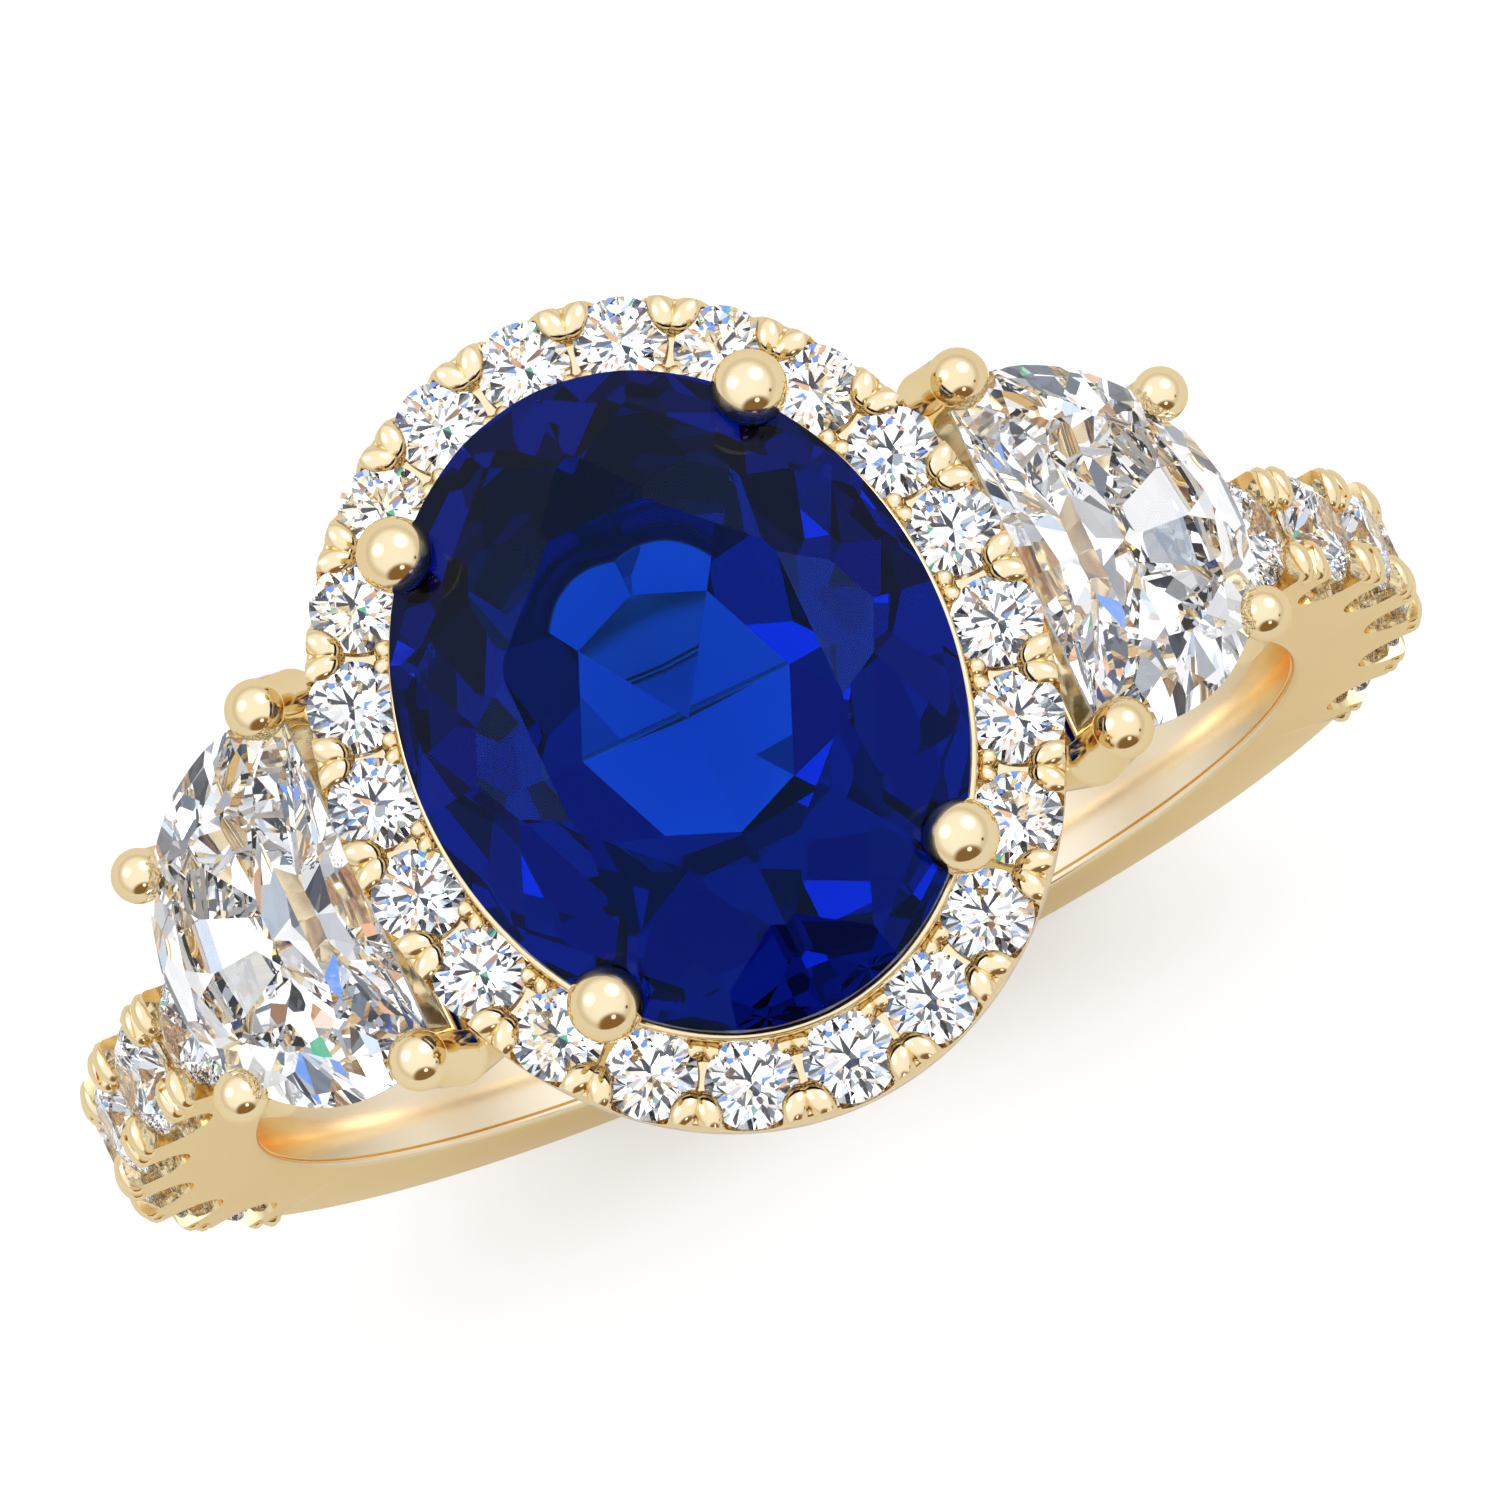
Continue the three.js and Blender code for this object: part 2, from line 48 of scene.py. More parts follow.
MM = 0.001
UP = Vector((0, 0, 1))
FINGER = Vector((0, 1, 0))
SEAM = 0.03  # between pieces that are soldered or set on the real ring
ROOM_SCALE = 1.01  # how much larger than its stone the seat of a shaped stone is
OVERRUN = 0.02  # how far a notch tool passes the face that it starts from
TOOL_REACH = 1.0  # how far the halo's outline tool goes past its metal
FINGER_REACH, SHANK_TOOL_REACH = 8, 4  # half lengths of the tools that fit heads to finger and shank
SHARP = math.radians(32)  # edges with a larger turn than this stay crisp

BORE, BORE_EDGE = 8.25, 8.36
HALF_WIDTH = 0.9
SHANK_RADIUS, BRIDGE_RADIUS = 10.12, 9.4
SHANK_OPENING, SHANK_STEPS = math.radians(11), 470  # half of the gap at the top; sections round it
DOME_PART, DOME_STEPS = 0.84, 8  # the domed inside, as a part of the shank's width
EDGE_ROUND, ROLL_STEPS = 0.1, 5
CREASE, CREASE_WIDTH = 0.05, 0.04  # the fine line where the domed inside meets the rolled edges
SHOULDER_START, SHOULDER_FULL = math.radians(46.8), math.radians(48.4)
RIM_START, RIM_END, RIM_FADE = math.radians(47.6), math.radians(121.0), math.radians(1.0)
RIM_HEIGHT = 0.28
RIM_INSIDE = ((1, 0.56), (0.9, 0.47), (0, 0.42), (0, 0.2))  # (part of its height, place sideways)

PAVE_COUNT = 6
PAVE_DIAMETER = 1.72
PAVE_FIRST, PAVE_PITCH = math.radians(55.9), math.radians(11.75)
PAVE_GIRDLE = 10.16
SLOT_WIDTH, SLOT_BOTTOM, SLOT_REACH = 1.16, 9.5, 2.0
PAVE_NOTCH = (0.5, 0.19)  # length and radius of the groove that splits a prong
PAVE_LOBE, PAVE_LOBE_SIDE = (0.19, 0.35, 0.22), 0.6  # a prong's half: its radii, its place sideways
PAVE_LOBE_DROP, PAVE_LOBE_TURN = 0.1, math.radians(1.2)  # below the rim, and round the shank

SAPPHIRE_HALF = (4.0, 5.0)
SAPPHIRE_GIRDLE = 12.04
CENTRE_PRONG = Vector((2.82, 3.64, 12.48))
CENTRE_FOOT = Vector((1.85, 2.2, 8.75))
CENTRE_BALL, CENTRE_STEM, STEM_TAPER = 0.56, 0.4, 0.02
BASKET_HALF, BASKET_WALL, BASKET_TOP = (2.35, 2.8), 0.6, 9.3
BASKET_FOOT, BASKET_ROOM_TOP = BORE - 1, 12  # the finger tool trims the foot
RAIL_HALF, RAIL_WALL, RAIL_BOTTOM, RAIL_TOP = (4.06, 5.06), 0.42, 11.44, 11.72

HALO_COUNT = 22
HALO_DIAMETER = 1.36
HALO_ROW = (4.65, 5.6)
HALO_OUT, HALO_IN = 0.66, -0.69
HALO_DRAFT = (0.04, 0.03)  # how far its outer and inner walls lean in at the bottom
HALO_BOTTOM, HALO_GIRDLE = 10.46, 11.15
HALO_SEAT = HALO_GIRDLE - 0.14
HALO_OUTER_TOP, HALO_INNER_TOP = 11.4, 11.3
HALO_RIM_TOP, HALO_LIP_TOP = HALO_OUTER_TOP - 0.16, HALO_INNER_TOP - 0.1
CHANNEL_TOP, CHANNEL_FLOOR = (0.2, -0.4), (0.12, -0.34)  # outer and inner edge of the seats' channel
WINDOW_RADIUS, WINDOW_LIFT, WINDOW_REACH = 0.43, 0.12, 1.2
# The split prongs are pairs of lobes: radii, place outward and to each side, height, lean (radians).
OUTER_LOBE = {
    "radii": (0.23, 0.34, 0.22), "out": 0.42, "side": 0.17, "height": HALO_OUTER_TOP - 0.22, "lean": 0.5,
}
INNER_LOBE = {
    "radii": (0.16, 0.2, 0.15), "out": -0.5, "side": 0.12, "height": HALO_INNER_TOP - 0.14, "lean": 0.35,
}

SIDE_TILT = math.radians(38.3)
SIDE_GIRDLE = 11.55
MOON_CENTRE, MOON_STRAIGHT = -1.4, -2.4
MOON_DEPTH, MOON_WIDTH = 3.05, 2.88
MOON_MIDDLE = MOON_STRAIGHT + 2.15
MOON_LIFT = Matrix.Translation((MOON_MIDDLE, 0, SIDE_GIRDLE))
SIDE_TURN = Matrix.Rotation(SIDE_TILT, 4, "Y")
CORNER_PRONG = {"along": -2.2, "side": 2.84, "ball": 0.46, "neck": 0.44, "stem": 0.36}
ARC_PRONG = {"along": 1.08, "side": 1.79, "ball": 0.41, "neck": 0.36, "stem": 0.32}
SIDE_BALL_HEIGHT, STEM_LEAN = 0.26, 0.34
KNEE_DROP, KNEE_OUT = 0.85, 0.06  # where a side stem bends: below its ball, and outward
KNEE_SWELL, SIDE_FOOT_HEIGHT = 0.005, 0.2
GALLERY_BOTTOM, GALLERY_TOP, GALLERY_INSET, GALLERY_WALL = 9.2, 9.8, 0.32, 0.55
BAR_GAP, BAR_WIDTH, BAR_TOP, BAR_HEIGHT, BAR_HALF = 0.16, 0.6, -0.34, 0.34, 2.7
WIRE_ROUND, GALLERY_ROUND = 0.05, 0.12  # corners of bars and rails, and of the galleries' tops

# How smooth round things are: sides or steps all the way round.
OVAL_STEPS, HALO_STEPS, STONE_STEPS, TURNED_SIDES = 128, 396, 160, 240
SEAT_STEPS, FOOTPRINT_STEPS, ROD_SIDES, WINDOW_SIDES, FLOOR_SIDES = 48, 96, 32, 24, 96
SLOT_STEPS, MOON_ARC_STEPS, MOON_SIDE_STEPS = 12, 64, 12
ROW_SAMPLES = 1440

# How stones are cut. Round brilliants: sizes are parts of the radius. The others are in mm: a tier
# of facets has a count, a phase, the part of the outline it leaves at the girdle, and the height
# where its facets would meet the stone's axis. A keel moves that meeting point sideways, by the
# most for facets that face along the stone, so the half-moon's pavilion ends in a ridge.
ROUND_CUT = {"table": 0.56, "mid": 0.76, "lower": 0.22, "crown": 0.3, "pavilion": 0.88, "girdle": 0.05}
ROUND_ARC_STEPS = 4
SEAT_TABLE, SEAT_CULET = 0.58, 0.02  # ends of a round stone's seat, as parts of its radius
SAPPHIRE_CUT = {
    "crown": 1.15, "pavilion": 3.5, "girdle": 0.22, "keel": 0,
    "tiers": [
        {"count": 8, "phase": 0.5, "rim": 1.02, "apex": 2.55},
        {"count": 16, "phase": 0.5, "rim": 0.985, "apex": 3.0},
        {"count": 8, "phase": 0, "rim": 1.2, "apex": 2.0},
        {"count": 16, "phase": 0.5, "rim": 0.99, "apex": -6.2},
        {"count": 12, "phase": 0, "rim": 1.02, "apex": -4.7},
        {"count": 8, "phase": 0.5, "rim": 1.08, "apex": -3.9},
        {"count": 8, "phase": 0.5, "rim": 1.6, "apex": -3.36},
    ],
}
MOON_CUT = {
    "crown": 0.55, "pavilion": 1.95, "girdle": 0.14, "keel": 0.45,
    "tiers": [
        {"count": 10, "phase": 0, "rim": 1.0, "apex": 1.2},
        {"count": 20, "phase": 0, "rim": 0.985, "apex": 1.4},
        {"count": 10, "phase": 0.5, "rim": 1.14, "apex": 0.98},
        {"count": 14, "phase": 0.5, "rim": 1.0, "apex": -1.95},
        {"count": 14, "phase": 0, "rim": 0.97, "apex": -2.12},
        {"count": 20, "phase": 0.5, "rim": 0.98, "apex": -2.6},
    ],
}

CAMERA_TILT = math.radians(78.4)
CAMERA_ROLL = math.radians(25.25)
CAMERA_DISTANCE = 540.0
VIEW_WIDTH = 21.55
VIEW_SHIFT = (0.607, -1.063)
FLOOR, FLOOR_RADIUS = -10.16, 900

# What the metal mirrors besides its tent: angle from the camera's direction (degrees), which way in
# the picture (right, top), half width, soft edge (radians) and colour. Each lies over the ones
# before it: a brown patch in front, three softboxes and a dark gap.
METAL_PATCHES = [
    (66, 0.35, -1, 0.6, 0.13, (0.26, 0.16, 0.07)),
    (48, 0.41, 0.91, 0.22, 0.2, (3.0, 3.0, 3.0)),
    (53, -0.96, 0.28, 0.2, 0.18, (2.6, 2.6, 2.6)),
    (45, 0.54, -0.84, 0.08, 0.06, (2.4, 2.4, 2.4)),
    (66, 1.0, -0.12, 0.06, 0.05, (0.12, 0.06, 0.02)),
]


# ---------------------------------------------------------------- meshes

def mesh_object(name, bm):
    """An object made from a bmesh, which is used up."""
    mesh = bpy.data.meshes.new(name)
    bmesh.ops.recalc_face_normals(bm, faces=bm.faces)
    bm.to_mesh(mesh)
    bm.free()
    piece = bpy.data.objects.new(name, mesh)
    bpy.context.scene.collection.objects.link(piece)
    return piece


def loft(rings, round_trip):
    """A closed skin through rings of points; the ends are capped unless it comes back round."""
    bm = bmesh.new()
    rows = [[bm.verts.new(point) for point in ring] for ring in rings]
    size = len(rows[0])
    spans = len(rows) if round_trip else len(rows) - 1
    for i in range(spans):
        here, there = rows[i], rows[(i + 1) % len(rows)]
        for k in range(size):
            after = (k + 1) % size
            bm.faces.new((here[k], here[after], there[after], there[k]))
    if not round_trip:
        bm.faces.new(rows[0])
        bm.faces.new(rows[-1])
    return bm


def rounded(corners, steps=4):
    """A closed outline with each corner (x, y, radius) turned into an arc."""
    points = []
    count = len(corners)
    for i, (x, y, radius) in enumerate(corners):
        here = Vector((x, y))
        before = (Vector(corners[i - 1][:2]) - here).normalized()
        after = (Vector(corners[(i + 1) % count][:2]) - here).normalized()
        if radius == 0:
            points.append(here)
            continue
        half_angle = before.angle(after) / 2
        reach = radius / math.tan(half_angle)
        centre = here + (before + after).normalized() * (radius / math.sin(half_angle))
        start, end = here + before * reach - centre, here + after * reach - centre
        swing = start.angle_signed(end)
        for step in range(steps + 1):
            turned = start.copy()
            turned.rotate(Matrix.Rotation(-swing * step / steps, 2))
            points.append(centre + turned)
    return points


def sweep_oval(half, profile, steps):
    """A ring whose section (outward offset, height) follows an ellipse."""
    rings = []
    for i in range(steps):
        angle = 2 * math.pi * i / steps
        spot = Vector((half[0] * math.cos(angle), half[1] * math.sin(angle), 0))
        out = Vector((math.cos(angle) / half[0], math.sin(angle) / half[1], 0)).normalized()
        rings.append([spot + out * offset + UP * height for offset, height in profile])
    return loft(rings, round_trip=True)


def lathe(profile, sides):
    """A solid turned about Z from (radius, height) points, the first and last on the axis."""
    bm = bmesh.new()
    bottom = bm.verts.new((0, 0, profile[0][1]))
    top = bm.verts.new((0, 0, profile[-1][1]))
    rows = []
    for radius, height in profile[1:-1]:
        turn = [2 * math.pi * k / sides for k in range(sides)]
        rows.append([bm.verts.new((radius * math.cos(a), radius * math.sin(a), height)) for a in turn])
    for k in range(sides):
        after = (k + 1) % sides
        bm.faces.new((bottom, rows[0][after], rows[0][k]))
        bm.faces.new((top, rows[-1][k], rows[-1][after]))
        for lower, upper in zip(rows, rows[1:]):
            bm.faces.new((lower[k], lower[after], upper[after], upper[k]))
    return bm


def prism(outline, low, high):
    """An upright solid over an outline, between two heights."""
    return loft([[Vector((x, y, z)) for x, y in outline] for z in (low, high)], round_trip=False)


def sphere(centre, radius):
    bm = bmesh.new()
    bmesh.ops.create_uvsphere(bm, u_segments=48, v_segments=28, radius=radius)
    bm.transform(Matrix.Translation(centre))
    return bm


def rod(start, end, start_radius, end_radius, sides=ROD_SIDES):
    """A round bar between two points."""
    axis = (end - start).normalized()
    across = axis.orthogonal().normalized()
    other = axis.cross(across)
    rings = []
    for centre, radius in ((start, start_radius), (end, end_radius)):
        turn = [2 * math.pi * k / sides for k in range(sides)]
        rings.append([centre + (across * math.cos(a) + other * math.sin(a)) * radius for a in turn])
    return loft(rings, round_trip=False)


def round_finger(radius, reach):
    """A cylinder along the finger axis."""
    profile = [(0, -reach), (radius, -reach), (radius, reach), (0, reach)]
    return moved(lathe(profile, TURNED_SIDES), Matrix.Rotation(math.pi / 2, 4, "X"))


def traced(outline, steps):
    """Points at equal angles round an outline(angle)."""
    return [outline(2 * math.pi * i / steps) for i in range(steps)]


def moved(bm, *matrices):
    """A bmesh after each matrix in turn."""
    for matrix in matrices:
        bm.transform(matrix)
    return bm


def merged(parts):
    """One bmesh that holds several, which are used up."""
    whole = bmesh.new()
    for part in parts:
        scrap = bpy.data.meshes.new("scrap")
        bmesh.ops.recalc_face_normals(part, faces=part.faces)
        part.to_mesh(scrap)
        part.free()
        whole.from_mesh(scrap)
        bpy.data.meshes.remove(scrap)
    return whole


def combine(piece, tool_bm, operation):
    """Changes a piece by a boolean with a tool, which is used up."""
    tool = mesh_object("tool", tool_bm)
    step = piece.modifiers.new("step", "BOOLEAN")
    step.operation = operation
    step.solver = "MANIFOLD"
    step.object = tool
    depsgraph = bpy.context.evaluated_depsgraph_get()
    mesh = bpy.data.meshes.new_from_object(piece.evaluated_get(depsgraph))
    piece.modifiers.clear()
    piece.data = mesh
    bpy.data.objects.remove(tool)


def cut(piece, *tools):
    for tool in tools:
        combine(piece, tool, "DIFFERENCE")
    return piece


def add(piece, *parts):
    for part in parts:
        combine(piece, part, "UNION")


def mark_bore(piece):
    """Gives the faces inside the finger hole the piece's second material, a paler copy of the gold: painted
    light that stands in for the brighter reflection inside the band.
    """
    for face in piece.data.polygons:
        level = face.center.xz.length
        faces_finger = face.normal.xz.dot(face.center.xz) < 0
        if faces_finger and level < BORE_EDGE + OVERRUN and abs(face.center.y) < HALF_WIDTH:
            face.material_index = 1


def finish_piece(piece, name, materials, smooth_angle=None):
    """Gives a piece its name, metres, shading and materials, and puts it in its node's place."""
    piece.name = name
    piece.data.name = name
    piece.data.transform(Matrix.Scale(MM, 4))
    if smooth_angle:
        piece.data.shade_smooth()
        piece.data.set_sharp_from_angle(angle=smooth_angle)
    marks = [face.material_index for face in piece.data.polygons]
    piece.data.materials.clear()
    for material in materials:
        piece.data.materials.append(material)
    piece.data.polygons.foreach_set("material_index", marks)
    place_piece(piece)


def place_piece(piece):
    """Puts a piece on the ring's body, in the place of the CAD node that it is named after."""
    node = piece.name.removesuffix("_look")
    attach(piece, "root")
    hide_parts(node)


# ---------------------------------------------------------------- gemstones

def round_brilliant(outline, mains, arc_steps, cut_shape):
    """A brilliant with its main facets at the given angles; its girdle takes the second material."""
    bm = bmesh.new()
    count = len(mains)
    rim = cut_shape["girdle"] / 2
    crown, pavilion = cut_shape["crown"], cut_shape["pavilion"]
    straighten = math.cos(math.pi / count)
    slope = (cut_shape["mid"] * straighten - cut_shape["table"]) / (1 - cut_shape["table"])
    mid_height = crown + (rim - crown) * slope
    lower_height = -pavilion + (pavilion - rim) * cut_shape["lower"] * straighten

    def between(k, part):
        ends = [mains[j % count] + (2 * math.pi if j >= count else 0) for j in (k, k + 1)]
        return ends[0] + (ends[1] - ends[0]) * part

    def ring(ratio, part, height):
        spots = [(outline(between(k, part)) * ratio).to_3d() for k in range(count)]
        return [bm.verts.new(spot + UP * height) for spot in spots]

    table = ring(cut_shape["table"], 0, crown)
    mid = ring(cut_shape["mid"], 0.5, mid_height)
    lower = ring(cut_shape["lower"], 0.5, lower_height)
    culet = bm.verts.new((0, 0, -pavilion))

    def girdle(side, inner):
        points = []
        for k in range(count):
            for half in (0, 0.5):
                ends = [outline(between(k, half + part)).to_3d() + UP * side * rim for part in (0, 0.5)]
                normal = (ends[0] - inner[k].co).cross(ends[1] - inner[k].co)  # of this half facet
                for step in range(arc_steps):
                    spot = outline(between(k, half + 0.5 * step / arc_steps)).to_3d()
                    spot.z = ends[0].z - normal.xy.dot((spot - ends[0]).xy) / normal.z
                    points.append(bm.verts.new(spot))
        return points

    upper, under = girdle(1, mid), girdle(-1, lower)
    steps = 2 * arc_steps
    bm.faces.new(table)
    for k in range(count):
        main = k * steps
        bm.faces.new((table[k], mid[k], table[(k + 1) % count]))
        bm.faces.new((table[k], mid[k - 1], upper[main], mid[k]))
        bm.faces.new((culet, lower[k], under[main], lower[k - 1]))
        for half in (0, arc_steps):
            arc = [(main + half + i) % len(upper) for i in range(arc_steps + 1)]
            bm.faces.new([mid[k]] + [upper[i] for i in arc])
            bm.faces.new([lower[k]] + [under[i] for i in reversed(arc)])
    for i in range(len(upper)):
        after = (i + 1) % len(upper)
        side = bm.faces.new((upper[i], under[i], under[after], upper[after]))
        side.material_index = 1
    return bm


def shaped_stone(outline, cut_shape):
    """A stone cut from its outline's prism, one flat facet at a time, tier by tier.

    A facet leans on the outline at one bearing: it leaves the girdle's edge (times the tier's rim)
    and would reach the stone's axis at the tier's apex height.
    """
    edge = [spot.to_3d() for spot in traced(outline, STONE_STEPS)]
    table, culet = cut_shape["crown"], -cut_shape["pavilion"]
    bm = loft([[point + UP * height for point in edge] for height in (culet, table)], round_trip=False)
    for face in bm.faces:
        off_middle = abs(face.calc_center_median().z - (culet + table) / 2)
        face.material_index = 1 if off_middle < (table - culet) / 4 else 0
    for tier in cut_shape["tiers"]:
        side = 1 if tier["apex"] > 0 else -1
        for k in range(tier["count"]):
            bearing = 2 * math.pi * (k + tier["phase"]) / tier["count"]
            across = Vector((math.cos(bearing), math.sin(bearing), 0))
            reach = max(point.dot(across) for point in edge) * tier["rim"]
            start = across * reach + UP * side * cut_shape["girdle"] / 2
            meeting = UP * tier["apex"] + across * cut_shape["keel"] * across.y**2
            normal = (meeting - start).cross(UP.cross(across))
            if normal.z * side < 0:
                normal.negate()
            slice_off(bm, start, normal)
    return bm


def slice_off(bm, spot, normal):
    """Cuts away what lies past a plane and closes the cut with one polished facet."""
    whole = bm.verts[:] + bm.edges[:] + bm.faces[:]
    sliced = bmesh.ops.bisect_plane(
        bm, geom=whole, plane_co=spot, plane_no=normal, clear_outer=True, dist=1e-5)
    rim = [piece for piece in sliced["geom_cut"] if isinstance(piece, bmesh.types.BMEdge)]
    if len(rim) > 2:
        for face in bmesh.ops.contextual_create(bm, geom=rim)["faces"]:
            face.material_index = 0


def oval_outline(half_x, half_y):
    """The outline(angle) of an ellipse."""
    return lambda angle: Vector((half_x * math.cos(angle), half_y * math.sin(angle)))


def eighths():
    return [k * math.pi / 4 for k in range(8)]


def sized_round_cut(radius):
    """The round cut in mm: its heights grow with the radius, its ratios stay."""
    ratios = ("table", "mid", "lower")
    return {key: value if key in ratios else value * radius for key, value in ROUND_CUT.items()}


def moon_outline(angle):
    """The ellipse of a half-moon, cut off by its straight side, seen from the stone's middle."""
    dx, dy = math.cos(angle), math.sin(angle)
    offset = MOON_MIDDLE - MOON_CENTRE
    a = (dx / MOON_DEPTH) ** 2 + (dy / MOON_WIDTH) ** 2
    b = 2 * offset * dx / MOON_DEPTH**2
    c = (offset / MOON_DEPTH) ** 2 - 1
    reach = (-b + math.sqrt(b * b - 4 * a * c)) / (2 * a)
    if dx < 0:
        reach = min(reach, (MOON_STRAIGHT - MOON_MIDDLE) / dx)
    return Vector((reach * dx, reach * dy))


def round_room(diameter):
    """The hole that a round stone needs in its setting."""
    cut_shape = sized_round_cut(diameter / 2)
    rim = cut_shape["girdle"] / 2 + SEAM
    profile = [(SEAT_CULET, -cut_shape["pavilion"] - SEAM), (1, -rim), (1, rim),
               (SEAT_TABLE, cut_shape["crown"] + SEAM)]
    edge = traced(oval_outline(diameter / 2, diameter / 2), SEAT_STEPS)
    rings = [[(spot * part + spot.normalized() * SEAM).to_3d() + UP * height for spot in edge]
             for part, height in profile]
    return loft(rings, round_trip=False)


def shaped_room(outline, cut_shape):
    """The hole that a shaped stone needs in its setting: the stone itself, a little larger."""
    return moved(shaped_stone(outline, cut_shape), Matrix.Scale(ROOM_SCALE, 4))


def half_moon_room(turn):
    """The room of one half-moon, where the ring holds it."""
    return moved(shaped_room(moon_outline, MOON_CUT), MOON_LIFT, SIDE_TURN, turn)


# ---------------------------------------------------------------- places

def out_from_axis(angle, radius):
    """Turns +Z to an angle from +Z about the finger axis, and moves out along it."""
    return Matrix.Rotation(angle, 4, "Y") @ Matrix.Translation((0, 0, radius))


def pave_angle(index):
    """The angle from +Z of a shoulder diamond, or of the prongs before it at its index less a half."""
    return PAVE_FIRST + index * PAVE_PITCH


def sides_of_ring():
    """The name and the turn of each half of the ring."""
    return (("right", Matrix.Identity(4)), ("left", Matrix.Rotation(math.pi, 4, "Z")))


def evenly_round_row(count):
    """(point, outward) at equal lengths round the halo's row, starting on +Y."""
    outline = oval_outline(*HALO_ROW)
    points = [outline(math.pi / 2 + 2 * math.pi * i / ROW_SAMPLES) for i in range(ROW_SAMPLES + 1)]
    lengths = [0]
    for here, there in zip(points, points[1:]):
        lengths.append(lengths[-1] + (there - here).length)
    places = []
    for k in range(count):
        wanted = lengths[-1] * k / count
        point = points[next(i for i, length in enumerate(lengths) if length >= wanted)]
        out = Vector((point.x / HALO_ROW[0] ** 2, point.y / HALO_ROW[1] ** 2)).normalized()
        places.append((point.to_3d(), out.to_3d()))
    return places


def frame_at(centre, along, out, high):
    """The place at a centre whose own axes point along, out and high."""
    matrix = Matrix((along, out, high)).transposed().to_4x4()
    matrix.translation = centre
    return matrix


def notch(length, radius):
    """A four-sided cone with its apex just past the origin that opens along -Y, one edge down."""
    bm = bmesh.new()
    apex = bm.verts.new((0, OVERRUN, 0))
    base = [
        bm.verts.new((radius * math.sin(k * math.pi / 2), -length, -radius * math.cos(k * math.pi / 2)))
        for k in range(4)
    ]
    for k in range(4):
        bm.faces.new((apex, base[k], base[(k + 1) % 4]))
    bm.faces.new(base)
    return bm


def lobe(radii, place):
    """A rounded bead of metal with its own radii along a place's three axes."""
    bm = bmesh.new()
    bmesh.ops.create_uvsphere(bm, u_segments=16, v_segments=10, radius=1)
    return moved(bm, Matrix.Diagonal((*radii, 1)), place)


# ---------------------------------------------------------------- metal parts

def smoothstep(low, high, value):
    part = min(max((value - low) / (high - low), 0), 1)
    return part * part * (3 - 2 * part)


def shank_section(angle):
    """The shank's section (radius, width place) at an angle from +Z, from one side to the other."""
    away = min(angle, 2 * math.pi - angle)
    outer = BRIDGE_RADIUS + (SHANK_RADIUS - BRIDGE_RADIUS) * smoothstep(SHOULDER_START, SHOULDER_FULL, away)
    rim = RIM_HEIGHT * smoothstep(RIM_START, RIM_START + RIM_FADE, away)
    rim *= 1 - smoothstep(RIM_END - RIM_FADE, RIM_END, away)
    top = outer + rim
    dome = [
        (BORE + (BORE_EDGE - BORE) * (k / DOME_STEPS) ** 2, HALF_WIDTH * DOME_PART * k / DOME_STEPS)
        for k in range(DOME_STEPS + 1)
    ]
    crease = [(BORE_EDGE + CREASE, HALF_WIDTH * DOME_PART + CREASE_WIDTH)]
    turns = [math.pi / 2 * k / ROLL_STEPS for k in range(ROLL_STEPS + 1)]
    inner_roll = [
        (BORE_EDGE + EDGE_ROUND * (1 - math.cos(turn)), HALF_WIDTH - EDGE_ROUND * (1 - math.sin(turn)))
        for turn in turns
    ]
    outer_roll = [
        (top - EDGE_ROUND * (1 - math.sin(turn)), HALF_WIDTH - EDGE_ROUND * (1 - math.cos(turn)))
        for turn in turns
    ]
    inside = [(outer + rim * part, width) for part, width in RIM_INSIDE]
    half = dome + crease + inner_roll + outer_roll + inside
    return half + [(radius, -width) for radius, width in reversed(half[1:])]


def shank():
    rings = []
    for i in range(SHANK_STEPS + 1):
        angle = SHANK_OPENING + (2 * math.pi - 2 * SHANK_OPENING) * i / SHANK_STEPS
        out = Vector((math.sin(angle), 0, math.cos(angle)))
        rings.append([out * radius + FINGER * width for radius, width in shank_section(angle)])
    piece = mesh_object("shank", loft(rings, round_trip=False))
    slots, rooms = [], []
    for _, turn in sides_of_ring():
        for i in range(PAVE_COUNT):
            slots.append(moved(slot_tool(), out_from_axis(pave_angle(i), SLOT_BOTTOM), turn))
            rooms.append(moved(round_room(PAVE_DIAMETER), out_from_axis(pave_angle(i), PAVE_GIRDLE), turn))
    grooves = [pave_groove(*place) for place in pave_prong_places()]
    for half in (-1, 1):
        add(piece, merged([pave_lobe(*place, half) for place in pave_prong_places()]))
    return cut(piece, merged(slots), merged(rooms), merged(grooves), basket_room())


def slot_tool():
    """A U-shaped window tool that runs across the shank, its round bottom at the origin."""
    half = SLOT_WIDTH / 2
    arc = [math.pi + math.pi * k / SLOT_STEPS for k in range(SLOT_STEPS + 1)]
    outline = [(half, SLOT_REACH), (-half, SLOT_REACH)]
    outline += [(half * math.cos(a), half + half * math.sin(a)) for a in arc]
    return moved(prism(outline, -SLOT_REACH, SLOT_REACH), Matrix.Rotation(math.pi / 2, 4, "X"))


def pave_prong_places():
    """(turn, angle, side) of each split prong beside the shoulder diamonds."""
    return [
        (turn, pave_angle(i - 0.5), side)
        for _, turn in sides_of_ring() for i in range(PAVE_COUNT + 1) for side in (-1, 1)
    ]


def pave_groove(turn, angle, side):
    """The tool that splits a prong from the shank's side."""
    lift = Matrix.Translation((0, side * (HALF_WIDTH + OVERRUN), OVERRUN))
    flip = Matrix.Rotation(math.pi if side < 0 else 0, 4, "Z")
    spot = out_from_axis(angle, SHANK_RADIUS + RIM_HEIGHT)
    return moved(notch(*PAVE_NOTCH), flip, lift, spot, turn)


